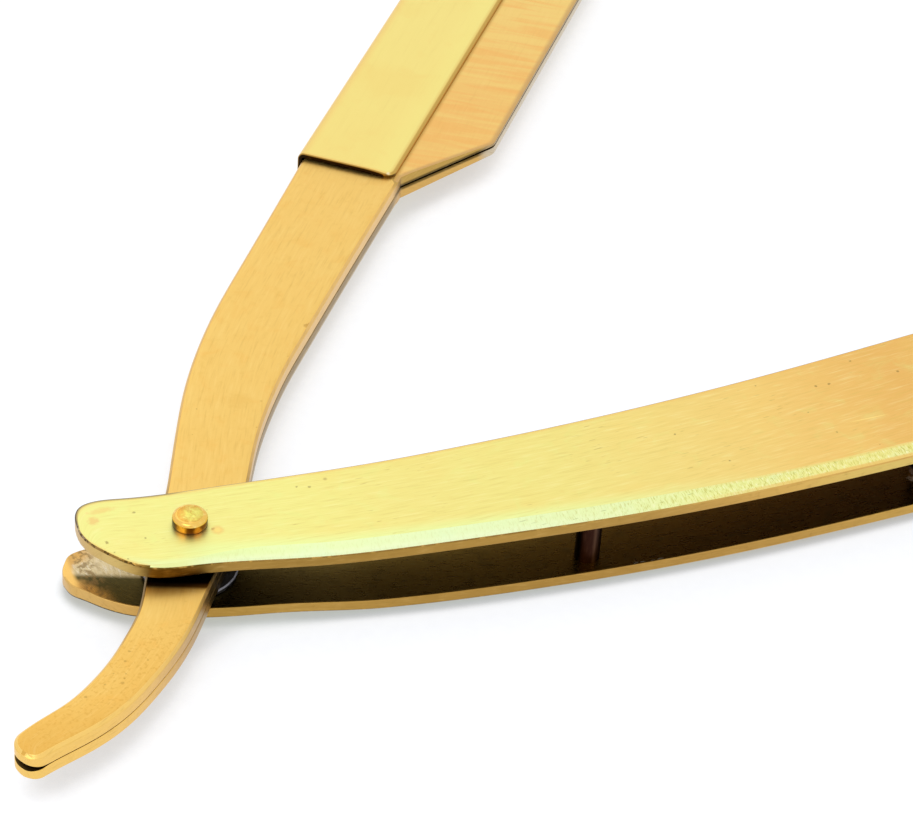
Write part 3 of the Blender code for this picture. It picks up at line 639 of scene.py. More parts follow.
print("handle finishes:", sorted({m.name for kit in SCALE_MATERIALS.values() for m in kit}))


# %% [markdown]
# ## Sections carried along a path
# The scales and the arm are long plates whose outline curves. A plate like that is a grid
# of two parameters: how far along the piece, and how far round its section. The helpers
# turn such a grid into a closed mesh with a UV map called run, in metres along and round,
# and with the distance to the nearest edge as an attribute.

# %% Helpers: curves and closed grids
def spline(knots, samples):
    """Natural cubic spline through the knots, measured along their chords.

    Between two knots a distance h apart the curve is a cubic. Their second derivatives are
    found for all knots at once, so that slope and curvature run on without a step.
    """
    knots = np.asarray(knots, dtype=float)
    chords = np.linalg.norm(np.diff(knots[:, :2], axis=0), axis=1)
    knot_run = np.concatenate([[0.0], np.cumsum(chords)])
    count = len(knots)
    inner = np.arange(1, count - 1)
    system = np.eye(count)
    system[inner, inner - 1] = chords[:-1]
    system[inner, inner] = 2.0 * (chords[:-1] + chords[1:])
    system[inner, inner + 1] = chords[1:]
    slopes = np.diff(knots, axis=0) / chords[:, None]
    load = np.zeros_like(knots)
    load[1:-1] = 6.0 * np.diff(slopes, axis=0)
    bend = np.linalg.solve(system, load)
    run = np.linspace(0.0, knot_run[-1], samples)
    cell = np.clip(np.searchsorted(knot_run, run, side="right") - 1, 0, count - 2)
    h = chords[cell][:, None]
    left = (run - knot_run[cell])[:, None]
    away = h - left
    curve = bend[cell] * away ** 3 / (6.0 * h) + bend[cell + 1] * left ** 3 / (6.0 * h)
    curve += (knots[cell] / h - bend[cell] * h / 6.0) * away
    curve += (knots[cell + 1] / h - bend[cell + 1] * h / 6.0) * left
    return curve


def smooth_step(share):
    """0 to 1 with level ends."""
    share = np.clip(share, 0.0, 1.0)
    return share * share * (3.0 - 2.0 * share)


def run_of(points):
    """Distance along a row of points, from its first."""
    steps = np.linalg.norm(np.diff(points, axis=0), axis=-1)
    return np.concatenate([np.zeros((1,) + steps.shape[1:]), np.cumsum(steps, axis=0)])


# %% [markdown]
# ## From a grid to a piece
# Blender can sweep a profile along a curve, but its rims then pinch where the curve turns
# sharply. A mesh from a numpy grid puts every corner where it should be, and its UV map and
# the distances to its edges come with it.

# %% Helpers: closed grids
def closed_grid(name, points, zones, gaps, materials, capped=False, cap_zone=0):
    """Piece from a grid: points[i, j] is station i and place j round its closed section.

    Faces join each place to the next one round the section and to the next station. The
    UV of a corner is (distance along the stations, distance round the section).
    """
    stations, places = points.shape[:2]
    here = np.arange(stations * places).reshape(stations, places)
    beside = np.roll(here, -1, axis=1)
    quads = np.stack([here[:-1], beside[:-1], beside[1:], here[1:]], axis=-1).reshape(-1, 4)
    along = np.broadcast_to(run_of(points.mean(axis=1))[:, None], (stations, places + 1))
    looped = np.concatenate([points, points[:, :1]], axis=1)
    round_it = run_of(looped.transpose(1, 0, 2)).T
    uv = np.stack([along, round_it], axis=-1)
    corners = np.stack([uv[:-1, :-1], uv[:-1, 1:], uv[1:, 1:], uv[1:, :-1]], axis=2).reshape(-1, 2)
    zone = np.broadcast_to(zones, (stations - 1, places)).reshape(-1)
    mesh = bpy.data.meshes.new(name)
    mesh.from_pydata(points.reshape(-1, 3), [], quads)
    mesh.uv_layers.new(name="run").data.foreach_set("uv", corners.astype(np.float32).ravel())
    mesh.polygons.foreach_set("material_index", zone.astype(np.int32))
    for label, values in gaps.items():
        layer = mesh.attributes.new(label, "FLOAT", "POINT")
        spread = np.broadcast_to(values, (stations, places)).astype(np.float32)
        layer.data.foreach_set("value", spread.ravel())
    for material in materials:
        mesh.materials.append(material)
    return close_up(name, mesh, (here[0], here[-1]) if capped else (), cap_zone)


def close_up(name, mesh, rims, cap_zone):
    """Cap the given rims, weld the poles, turn every face out and shade it smooth."""
    shape = bmesh.new()
    shape.from_mesh(mesh)
    shape.verts.ensure_lookup_table()
    for rim in rims:
        cap = shape.faces.new([shape.verts[int(i)] for i in rim])
        cap.material_index = cap_zone
    bmesh.ops.remove_doubles(shape, verts=shape.verts, dist=1e-7)
    bmesh.ops.dissolve_degenerate(shape, edges=shape.edges, dist=1e-8)
    bmesh.ops.recalc_face_normals(shape, faces=shape.faces)
    shape.to_mesh(mesh)
    shape.free()
    mesh.shade_smooth()
    mesh.set_sharp_from_angle(angle=math.radians(50.0))
    made = bpy.data.objects.new(name, mesh)
    bpy.context.scene.collection.objects.link(made)
    print(name, "has", len(mesh.polygons), "faces")
    return made


# %% [markdown]
# ## The scales
# A scale is a flat plate sawn to a long curve. Its section changes little, so its profile
# is carried along the outline: a wall, a rounded rim, the face, the band and the front
# wall. Each side of the outline gives its own points, pushed inwards square to the outline,
# and the face is filled in between. That keeps the rims even where the tip turns round,
# which plain slices across the plate would not.

# %% Sizes and tables of the scales
# Lengths in metres. The seam is the arm's mid-plane, and the scales lie above and below it.
SEAM = 4.5 * MM
PIVOT_HALF_GAP = 2.15 * MM
PLATE = 1.35 * MM
DEPTH = 18.2 * MM
HANDLE_REACH = 134.0 * MM
WASHER_RADIUS = 4.75 * MM
RIM_RADIUS = 0.13 * MM
INNER_RIM_RADIUS = 0.09 * MM
INNER_SETBACK = 0.18 * MM
LIP = 0.09 * MM
# The bevelled band, in mm: its width and fall at the tip, and what both gain within the
# fade's reach on each side of the pivot.
BAND_FADE = 7.0 * MM
TIP_BAND, BAND_GAIN = 0.12, 1.68
TIP_FALL, FALL_GAIN = 0.12, 0.13
BAND_STEPS = (1.06, 1.02, 0.98, 0.80, 0.55, 0.30)
LIP_STEPS = (LIP, 0.4 * LIP, 0.08 * LIP, 0.0, 0.0, 0.0)
END_SHARE = 0.0001
# For the upper scale (1) and the lower one (-1): the tip's reach, and the height of the bow
# with the distance at which it is full.
TIP_REACH = {1: 10.35 * MM, -1: 11.8 * MM}
BOW = {1: (0.46 * MM, 34.0 * MM), -1: (0.72 * MM, 17.0 * MM)}
# The outline's tables: shares of the tip's or the handle's reach, and of the depth.
BACK_TIP = {1: ((-1.0, 0.158), (-0.975, 0.238), (-0.90, 0.303), (-0.76, 0.326), (-0.48, 0.305)),
            -1: ((-1.0, 0.160), (-0.978, 0.205), (-0.938, 0.250), (-0.89, 0.290), (-0.82, 0.309),
                 (-0.48, 0.300))}
FRONT_TIP = {1: ((-1.0, 0.100), (-0.965, 0.020), (-0.895, -0.052), (-0.795, -0.133), (-0.685, -0.206),
                 (-0.54, -0.266), (-0.10, -0.320)),
             -1: ((-1.0, 0.125), (-0.975, 0.058), (-0.90, 0.0), (-0.80, -0.076), (-0.72, -0.128),
                  (-0.56, -0.204), (-0.30, -0.273), (-0.05, -0.328))}
BACK = ((0.030, 0.250), (0.149, 0.170), (0.298, 0.152), (0.448, 0.208), (0.597, 0.315), (0.746, 0.432),
        (0.858, 0.516), (0.925, 0.544), (0.972, 0.499), (0.994, 0.390), (1.0, 0.253))
FRONT = ((0.075, -0.448), (0.149, -0.539), (0.224, -0.606), (0.373, -0.676), (0.522, -0.668),
         (0.671, -0.615), (0.806, -0.527), (0.910, -0.416), (0.968, -0.245), (0.993, -0.040),
         (1.0, 0.120))


# %% [markdown]
# ## Outline of a scale
# Each edge is a spline through a table of knots. Real corners are only as sharp as a file
# leaves them, so the closed outline is blurred with a bell curve 0.15 mm wide. Back and
# front edge are then paired, station by station, from the tip to the butt.

# %% Helpers: outline
def edge_curve(tip, body, tip_reach):
    """One edge of a scale from tip to butt, from its table of shares."""
    knots = [(a * tip_reach, c * DEPTH) for a, c in tip]
    knots += [(a * HANDLE_REACH, c * DEPTH) for a, c in body]
    return spline(knots, 3000)


def round_outline(side, count=6000, window=30, blur=0.15 * MM):
    """Closed outline of a scale at even steps, its corners eased with a short bell curve."""
    back = edge_curve(BACK_TIP[side], BACK, TIP_REACH[side])
    front = edge_curve(FRONT_TIP[side], FRONT, TIP_REACH[side])
    loop = np.concatenate([back, front[::-1], back[:1]])
    run = run_of(loop)
    even = np.linspace(0.0, run[-1], count, endpoint=False)
    loop = np.column_stack([np.interp(even, run, loop[:, i]) for i in range(2)])
    reach = np.arange(-window, window + 1)
    bell = np.exp(-0.5 * (reach * run[-1] / count / blur) ** 2)
    bell /= bell.sum()
    padded = np.concatenate([loop[-window:], loop, loop[:window]])
    return np.column_stack([np.convolve(padded[:, i], bell, mode="valid") for i in range(2)])


def outline_sides(side, stations):
    """Back and front edge with their inward directions, paired from tip to butt.

    Stations crowd at both ends: share = i - 0.92 * sin(2 pi i) / (2 pi), for i from 0 to 1.
    They stop a hair short of both ends, so that the end sections can be capped.
    """
    loop = round_outline(side)
    loop = np.roll(loop, -int(np.argmin(loop[:, 0])), axis=0)
    butt = int(np.argmax(loop[:, 0]))
    tangent = np.roll(loop, -1, axis=0) - np.roll(loop, 1, axis=0)
    tangent /= np.linalg.norm(tangent, axis=1)[:, None]
    inward = np.column_stack([tangent[:, 1], -tangent[:, 0]])
    tagged = np.concatenate([np.column_stack([loop, inward]), np.column_stack([loop[:1], inward[:1]])])
    even = np.linspace(0.0, 1.0, stations)
    share = even - 0.92 * np.sin(2.0 * np.pi * even) / (2.0 * np.pi)
    share = END_SHARE + (1.0 - 2.0 * END_SHARE) * share
    found = []
    for part in (tagged[:butt + 1], tagged[butt:][::-1]):
        run = run_of(part[:, :2])
        found.append(np.column_stack([np.interp(share * run[-1], run, part[:, i]) for i in range(4)]))
    return found


# %% [markdown]
# ## Section of a scale
# The section is listed as points pushed in from the back edge and from the front edge, with
# their heights. Rims are quarter circles. The band is a flat that falls to a thin lip.

# %% Helpers: section
def quarter(radius, steps=4):
    """Offsets of a quarter circle: how far in, and how far down, from the outer corner."""
    angle = np.linspace(0.0, 0.5 * np.pi, steps + 1)
    return radius * (1.0 - np.sin(angle)), radius * (1.0 - np.cos(angle))


def each_station(row, stations):
    """The same row for every station."""
    return np.broadcast_to(row, (stations, len(row)))


def scale_plate(name, node, side, stations=460):
    """A whole scale as one closed grid.

    Round each section go the back wall and rim, the face, the band with the front wall, and
    the inner face. Past the pivot the band gets wider and falls off more: width = width at
    the tip + gain * share, where the share climbs smoothly from 0 to 1.
    """
    back, front = outline_sides(side, stations)
    middle_x = 0.5 * (back[:, 0] + front[:, 0])
    width = np.linalg.norm(back[:, :2] - front[:, :2], axis=1)
    fade = smooth_step((middle_x + BAND_FADE) / (2.0 * BAND_FADE))
    band = np.minimum((TIP_BAND + BAND_GAIN * fade) * MM, 0.3 * width)
    drop = (TIP_FALL + FALL_GAIN * fade) * MM
    rim_in, rim_down = quarter(RIM_RADIUS)
    low_in, low_up = quarter(INNER_RIM_RADIUS)
    # The back: from the inner face up the wall and over the rim, as distance in and height.
    inwards = np.concatenate([[INNER_SETBACK], low_in, [0.0, 0.0, 0.0], rim_in[::-1], [0.19 * MM]])
    height = np.concatenate([[0.0], low_up, [0.25 * PLATE, 0.5 * PLATE, 0.75 * PLATE],
                             PLATE - rim_down[::-1], [PLATE]])
    tight = np.minimum(1.0, 0.25 * width / (0.2 * MM))[:, None]
    back_points = back[:, None, :2] + (inwards[None, :, None] * tight[..., None]) * back[:, None, 2:]
    # The front: from the face over the crease, down the band, its lip and the wall.
    share = np.array(BAND_STEPS)
    band_in = np.concatenate([band[:, None] * share, each_station(LIP_STEPS, stations)], axis=1)
    front_in = np.concatenate([band_in, each_station(low_in[::-1], stations),
                               np.full((stations, 1), INNER_SETBACK)], axis=1)
    front_in = front_in * np.minimum(1.0, width / (0.4 * MM))[:, None]
    top = PLATE - drop
    wall_heights = (top + drop * LIP / np.maximum(band, 2 * LIP), top - 0.02 * MM, top - 0.06 * MM,
                    top - 0.12 * MM, 0.55 * top, 0.3 * top)
    front_height = np.concatenate([
        PLATE - drop[:, None] * np.maximum(1.0 - share, 0.0), np.stack(wall_heights, axis=1),
        each_station(low_up[::-1], stations), np.zeros((stations, 1))], axis=1)
    front_points = front[:, None, :2] + front_in[..., None] * front[:, None, 2:]
    # The flat faces between them, then the bow and the place beside the seam.
    across = np.linspace(0.0, 1.0, 18)[1:-1]
    face = back_points[:, -1:] + (front_points[:, :1] - back_points[:, -1:]) * across[None, :, None]
    inner = front_points[:, -1:] + (back_points[:, :1] - front_points[:, -1:]) * across[None, :, None]
    plan = np.concatenate([back_points, face, front_points, inner], axis=1)
    flat = np.full((stations, len(across)), PLATE)
    tall = np.concatenate([each_station(height, stations), flat, front_height, np.zeros_like(flat)],
                          axis=1)
    bow_height, bow_end = BOW[side]
    bow = bow_height * smooth_step((plan[..., 0] - WASHER_RADIUS) / (bow_end - WASHER_RADIUS))
    points = np.concatenate([plan, (SEAM + side * (PIVOT_HALF_GAP + bow + tall))[..., None]], axis=-1)
    ring = np.repeat((INSIDE, WALL, RIM, FACE, BAND, RIM, WALL, INSIDE), (1, 8, 4, 19, 5, 3, 8, 17))
    zones = np.tile(ring, (stations - 1, 1))
    narrow = band[1:] < 0.24 * MM
    zones[np.ix_(narrow, ring == BAND)] = RIM
    gap_front = np.concatenate([band_in, np.zeros((stations, len(low_in) + 1))], axis=1) / MM
    gap_face = np.minimum(across * width[:, None], (1.0 - across) * width[:, None] + band[:, None]) / MM
    edge_gap = np.concatenate([each_station(inwards / MM, stations), gap_face, gap_front,
                               gap_face[:, ::-1]], axis=1)
    front_gap = np.linalg.norm(plan - front[:, None, :2], axis=2) / MM
    piece = closed_grid(name, points, zones, {"edge_gap": edge_gap, "front_gap": front_gap},
                        SCALE_MATERIALS[side], capped=True, cap_zone=WALL)
    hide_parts(node)
    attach(piece, "handle")


# %% Build both scales
scale_plate("upper_scale_plate", "upper_scale", 1)
scale_plate("lower_scale_plate", "lower_scale", -1)

# %% [markdown]
# ## Finishes of the arm and the clip
# The arm's halves are a warmer gold than the scales. The jaw's ground bevel is rippled
# square to the edge, where the grinding wheel dwelt. The clip is a paler, smoother sheet.

# %% Material: faces of the arm
ACROSS_ARM = (-0.7716, 0.6361, 0.0)
ARM_TOP_Z, CLIP_TOP_Z = 6.0, 6.7
# Where the colours of the whole arm and of its head run, in metres across the handle.
ARM_RUN = {"axis": Y, "low": -0.025, "high": 0.08}
HEAD_RUN = {"axis": Y, "low": 0.03, "high": 0.1}
# Small pits: place in mm in the row frame, and radius in mm.
ARM_PITS = ((-11.38, -16.15, 0.18), (-11.70, -16.75, 0.14), (-12.06, -17.24, 0.22),
            (-12.49, -15.79, 0.18), (-10.23, -13.37, 0.16), (-11.01, -14.54, 0.16),
            (-13.66, -16.92, 0.18), (-15.88, -18.00, 0.20), (-8.96, -15.00, 0.12),
            (6.92, 18.82, 0.14), (5.23, 15.10, 0.10))


def arm_face():
    """Brushed outer face of an arm half, with a painted shadow where it passes under the upper scale.
    """
    gold = Finish("arm_face_gold")
    gold.drift([(0.0, (227, 178, 86)), (0.16, (236, 194, 105)), (0.33, (236, 196, 108)),
                (0.57, (240, 199, 109)), (1.0, (241, 199, 111))], **ARM_RUN)
    gold.patches((240, 206, 120), 0.3, 5.0, 0.45, 0.8)
    gold.patches((236, 180, 84), 0.35, 2.0, 0.5, 0.8, 0.5)
    gold.patches((224, 178, 84), 0.25, 0.7, 0.5, 0.8, 0.3)
    gold.lay((206, 154, 64), 0.4, gold.clouds(0.35, 0.52, 0.66, 0.4), gold.beyond(Y, -9.0, -13.0))
    gold.lay((216, 166, 74), 0.45, gold.beyond(Y, -19.0, -23.0))
    gold.grain(6.0, 4.0, 0.26, (248, 216, 138), (204, 156, 72), 0.4)
    gold.worn(0.45, (236, 172, 74), 0.45)
    rubbed = gold.worn(0.14, (196, 146, 62), 0.35, 0.3)
    gold.lay((190, 138, 56), 0.6, rubbed, gold.beyond(Y, -8.0, -12.0))
    gold.pits(0.6, 0.14, 0.09, (180, 134, 50), 0.5)
    for x, y, radius in ARM_PITS:
        gold.spot((x, y, ARM_TOP_Z), radius, (150, 112, 48), 0.4, ragged=0.9)
    gold.spot((22.3, 28.6, ARM_TOP_Z), 0.7, (176, 126, 48), 0.5, (1.0, 1.6, 1.0), 0.9)
    gold.spot((11.34, 18.75, ARM_TOP_Z), 1.8, (222, 176, 86), 0.25)
    # Painted shadow under the upper scale's front edge: dark brown, black right beside the edge.
    painted_shadow = gold.both(gold.beyond(TOWARDS_BACK, -7.3, -6.75), gold.beyond(TOWARDS_BACK, 4.0, 1.0),
                        gold.beyond(ACROSS_ARM, 9.0, 6.0))
    gold.lay((84, 50, 8), 0.95, painted_shadow)
    gold.lay((8, 5, 1), 0.97, painted_shadow, gold.beyond(TOWARDS_BACK, -6.75, -6.1))
    return gold.done(bump_mm=0.006)


# %% [markdown]
# ## Walls and inner faces of the arm
# The halves were filed along their edges. The seam between them holds dirt along the shank
# and the head. Where the arm passes under the handle little light reaches the wall, and the
# wall is brown there as painted shade; the tail's top chamfer has a painted highlight, and
# painted reflections of the paper lie below the shank's seam and on the walls by the edge.

# %% Materials: walls and inner faces of the arm
def arm_chamfer():
    """Filed chamfers and walls of the arm: bright at the tail with a painted highlight, brown as
    painted shade under the handle, dark olive at the dirty seam along the shank, widened with
    painted shade, beige below it as a painted reflection, and gold again round the head."""
    gold = Finish("arm_wall_gold")
    gold.drift([(0.0, (240, 198, 106)), (0.05, (238, 194, 104)), (0.09, (214, 170, 92)),
                (0.13, (184, 144, 76)), (0.17, (144, 112, 56)), (0.21, (98, 80, 40)),
                (0.27, (118, 96, 50)),
                (0.33, (222, 180, 108)), (0.5, (226, 186, 114)), (0.66, (226, 184, 110)),
                (0.74, (234, 190, 106)), (1.0, (224, 180, 98))], **ARM_RUN)
    # Painted highlight on the tail's top chamfer.
    gold.lay((252, 212, 122), 0.6, gold.beyond(Z, 5.7, 5.8), gold.beyond(Y, -6.0, -14.0))
    gold.patches((238, 196, 118), 0.25, 1.2, 0.5, 0.8)
    gold.patches((170, 128, 62), 0.25, 0.8, 0.55, 0.85, 0.5)
    head = gold.beyond(Y, 48.5, 50.5)
    front = gold.beyond(ACROSS_ARM, 3.0, 2.0)
    seam = gold.both(gold.beyond(Z, 3.95, 4.25), gold.beyond(Z, 5.05, 4.78), front)
    gold.lay((204, 162, 88), 0.85, head, front)
    gold.lay((182, 148, 72), 0.8, head, front, gold.beyond(Z, 4.5, 4.6))
    gold.lay((70, 54, 12), 0.85, head, seam)
    # Painted reflection of the shaded paper on the walls along the cutting edge.
    paper_reflection_line = gold.both(gold.beyond(ACROSS_ARM, -5.0, -6.0), head)
    gold.lay((178, 152, 112), 0.8, paper_reflection_line)
    gold.lay((208, 198, 176), 0.7, paper_reflection_line, gold.beyond(Z, 4.6, 4.3))
    # Along the shank: dark olive at the dirty seam, widened with painted shade; beige below it is a
    # painted reflection of the paper.
    shank = gold.both(gold.beyond(Y, 3.0, 8.0), front, gold.beyond(Y, 50.5, 48.5))
    gold.lay((116, 92, 44), 0.85, shank, gold.beyond(Z, 4.75, 4.45))
    gold.lay((206, 190, 160), 0.7, shank, gold.beyond(Z, 3.7, 3.3))
    gold.grain(6.0, 2.5, 0.22, (246, 208, 136), (160, 120, 60), 0.6)
    return gold.done(bump_mm=0.008)


def arm_inside():
    """Inner faces of the arm's halves, dull brass that lies in the dark."""
    brass = Finish("arm_inner_brass", 0.4)
    brass.drift([(0.0, (84, 66, 32)), (1.0, (84, 66, 32))])
    brass.patches((120, 92, 44), 0.5, 1.5, 0.45, 0.8)
    brass.grain(5.0, 3.0, 0.3, (130, 102, 56), (50, 38, 18), 0.6)
    return brass.done(bump_mm=0.008)


# %% [markdown]
# ## Ripples of the jaws
# The wheel that ground the jaws dwelt a little as it passed, and left soft ripples square
# to the edge. Two layers of noise, stretched along the way of the wheel, make broad
# ripples with finer ones between them.

# %% Material: ground bevel
GRIND_ACROSS, GRIND_ALONG = np.array((0.377, 0.926, 0.0)), np.array((0.926, -0.377, 0.0))
# Ripples of the jaw: how many per metre across and along, the values between which they
# rise, and their strength.
RIPPLES = ((620.0, 60.0, 0.43, 0.55, 0.55), (1500.0, 120.0, 0.44, 0.6, 0.35))


def jaw_bevel():
    """Ground bevel of a jaw, rippled square to its edge."""
    gold = Finish("jaw_bevel_gold")
    gold.drift([(0.0, (241, 191, 109)), (0.5, (241, 194, 112)), (0.68, (242, 208, 123)),
                (1.0, (242, 208, 122))], **HEAD_RUN)
    for across_scale, along_scale, low, high, strength in RIPPLES:
        steps = [vector_step(gold.tree, "DOT_PRODUCT", gold.object, tuple(way.tolist()))
                 for way in (GRIND_ACROSS * across_scale, GRIND_ALONG * along_scale)]
        ripple = place(gold.tree, "ShaderNodeCombineXYZ", {0: steps[0], 1: steps[1]}).outputs[0]
        waves = noise(gold.tree, ripple, 1.0, 2.0, 0.4)
        gold.lay((242, 184, 102), strength, gold.fade(waves, high - 0.06, high + 0.06))
        gold.lay((243, 208, 122), strength, gold.fade(waves, low + 0.04, low - 0.08))
    gold.grain(5.0, 4.0, 0.12, (250, 218, 144), (212, 160, 84), 0.4)
    gold.worn(0.75, (196, 158, 104), 0.75, 0.1)
    # Painted shadow on the bevel beside the clip's front lip.
    gold.lay((190, 148, 72), 0.7, gold.beyond(ACROSS_ARM, 0.85, 1.35), gold.beyond(Z, 5.0, 5.3))
    return gold.done(bump_mm=0.006)


# %% [markdown]
# ## The clip's finishes
# The sheet was polished flat and folded afterwards, so it is the smoothest piece. Its front
# lip shows brown and darkens towards its ends as painted shade, and its cut ends were never
# polished at all; their dark brown is deepened as painted shade of the gap under the sheet.
# A painted highlight sits on the front corner.

# %% Materials: clip
def clip_sheet():
    """Smooth pale sheet of the spine clip, with a painted highlight on its front corner."""
    gold = Finish("clip_gold_sheet")
    gold.drift([(0.0, (241, 215, 124)), (0.5, (242, 222, 132)), (1.0, (243, 226, 136))], **HEAD_RUN)
    gold.patches((242, 226, 134), 0.5, 6.0, 0.45, 0.8)
    gold.patches((240, 204, 116), 0.3, 3.0, 0.5, 0.8, 0.5)
    gold.patches((240, 210, 118), 0.3, 9.0, 0.5, 0.7, 0.2)
    gold.grain(4.0, 8.0, 0.1, (248, 230, 150), (218, 186, 104), 0.3)
    gold.lay((246, 232, 140), 0.55, gold.fade(gold.front, 4.0, 0.8))
    gold.lay((240, 198, 116), 0.75, gold.fade(gold.front, 9.6, 11.0))
    gold.lay((222, 184, 98), 0.8, gold.fade(gold.front, 0.8, 0.1))
    gold.lay((186, 145, 65), 0.7, gold.fade(gold.front, 0.42, 0.24))
    gold.worn(0.55, (238, 196, 108), 0.7, 0.2)
    gold.lay((150, 112, 50), 0.9, gold.fade(gold.edge, 0.16, 0.06))
    # Painted highlight on the clip's front corner.
    gold.spot((39.5, 51.04, CLIP_TOP_Z), 0.4, (255, 250, 220), 0.85, ragged=0.1)
    return gold.done(bump_mm=0.004)


def clip_lip():
    """Rolled front lip of the clip, a brown gold line, darkened towards its ends as painted shade."""
    gold = Finish("clip_lip_gold")
    gold.drift([(0.0, (196, 154, 72)), (1.0, (200, 158, 80))], **HEAD_RUN)
    gold.patches((210, 170, 90), 0.5, 1.5, 0.5, 0.8)
    # Painted shade towards the lip's ends.
    gold.lay((60, 44, 14), 0.85, gold.fade(gold.edge, 1.3, 0.5))
    gold.grain(6.0, 5.0, 0.3, (224, 180, 100), (120, 84, 30), 0.4)
    return gold.done(bump_mm=0.004)


def clip_cut():
    """Cut ends and inner face of the sheet, dark brown cut metal deepened as painted shade of the gap.
    """
    brown = Finish("clip_cut_brown")
    brown.drift([(0.0, (36, 24, 9)), (1.0, (40, 26, 10))])
    brown.patches((74, 50, 20), 0.5, 0.6, 0.5, 0.8)
    brown.grain(5.0, 1.5, 0.3, (80, 56, 24), (20, 13, 5), 0.5)
    return brown.done(bump_mm=0.008)


# %% Kits of the arm and the clip
SEAM_FACE, FILED, GROUND, JAW = range(4)
ARM_MATERIALS = [arm_inside(), arm_chamfer(), arm_face(), jaw_bevel()]
CUT, CHEEK, FOLDED_LIP = range(3)
CLIP_MATERIALS = [clip_cut(), clip_sheet(), clip_lip()]
print("arm finishes:", [m.name for m in ARM_MATERIALS + CLIP_MATERIALS])


# %% [markdown]
# ## The arm's halves
# Each half is a band that runs from the curved tail, past the pivot, up the shank to the
# straight head. Where the blade goes, the outer face falls off towards the edge. Six
# corners describe every section, so the half is one grid of such sections, and easing the
# corners with short curves gives it filed edges that catch the light.

# %% Helper: ease the corners of sections
def eased(corners, sizes, fills):
    """Round the corners of closed sections and fill their sides.

    Each corner becomes a short quadratic curve that starts and ends on its two sides, and
    each side gets fill - 1 even points between those curves.
    """
    before = np.roll(corners, 1, axis=1) - corners
    after = np.roll(corners, -1, axis=1) - corners
    long_before = np.linalg.norm(before, axis=2, keepdims=True)
    long_after = np.linalg.norm(after, axis=2, keepdims=True)
    size = np.minimum(sizes[None, :, None], 0.35 * np.minimum(long_before, long_after))
    start = corners + before / np.maximum(long_before, 1e-9) * size
    end = corners + after / np.maximum(long_after, 1e-9) * size
    columns, owner = [], []
    for k, fill in enumerate(fills):
        for t in (0.0, 0.34, 0.67):
            columns.append((1 - t) ** 2 * start[:, k] + 2 * t * (1 - t) * corners[:, k]
                           + t * t * end[:, k])
            owner.append(-1 - k)
        following = start[:, (k + 1) % len(fills)]
        for share in np.linspace(0.0, 1.0, fill + 1)[:-1]:
            columns.append(end[:, k] + (following - end[:, k]) * share)
            owner.append(k)
    return np.stack(columns, axis=1), np.array(owner)


# %% Sizes of the arm
HALF = 1.45 * MM
HALF_SEAM = 0.05 * MM
HALF_TOP = HALF_SEAM + HALF
ARM_ANGLE = math.radians(50.5)
TAIL_REACH = 32.65 * MM
SHANK_WIDTH = 10.2 * MM
HEAD_START = 63.7 * MM
SPINE_LINE = 11.8 * MM
FRONT_LINE = 0.75 * MM
CLIP_FRONT = 1.35 * MM
EDGE_LINE = -6.34 * MM
HEEL_ROOT = 65.3 * MM
HEEL = 76.75 * MM
TOE = 122.1 * MM
CHAMFER = 0.22 * MM
TAIL_LEVEL = 0.08 * MM
TAIL_SPINE_CORNER, TAIL_FRONT_CORNER = 1.8 * MM, 1.2 * MM
TAIL_SPREAD, TAIL_SPREAD_REACH = 0.34 * MM, 2.4 * MM
HEEL_CORNER, TOE_CORNER, SPINE_CORNER = 1.6 * MM, 3.0 * MM, 2.0 * MM
POCKET = 0.07 * MM
# The edge's thickness and its eased rim, on the upper half (1) and the lower half (-1).
EDGE_SHAPE = {1: (0.42 * MM, CHAMFER), -1: (1.00 * MM, 0.06 * MM)}
CORNER_EASES = np.array((0.07, 0.05, 0.06, 0.06, 0.05, 0.07)) * MM
CORNER_FILLS = (4, 3, 14, 10, 4, 14)
SIDE_ZONES = np.array((FILED, FILED, GROUND, FILED, FILED, SEAM_FACE))
# Middle line: shares of the reach along, of the shank's width across, and of it wide.
TAIL = ((-1.0, 0.340, 0.345), (-0.920, 0.228, 0.390), (-0.798, 0.020, 0.430),
        (-0.675, -0.112, 0.465), (-0.567, -0.170, 0.482), (-0.460, -0.196, 0.512),
        (-0.337, -0.190, 0.540), (-0.184, -0.115, 0.620), (0.0, -0.020, 0.715))
SHANK = ((0.095, 0.083, 0.758), (0.182, 0.220, 0.778), (0.262, 0.345, 0.810), (0.360, 0.464, 0.880),
         (0.452, 0.534, 0.938), (0.539, 0.567, 0.988), (0.666, 0.586, 1.018), (0.824, 0.600, 1.045))


# %% [markdown]
# ## Tail and shank
# A curved band is easiest as sections square to one smooth middle line. The line and the
# band's width come from tables, and at the tail's end the corners fall back in an arc.

# %% Helpers: tail and shank
def corner_sag(distance, radius):
    """How far a round corner falls back from its side, at a distance from its end."""
    inside = np.clip(radius - distance, 0.0, radius)
    return radius - np.sqrt(radius ** 2 - inside ** 2)


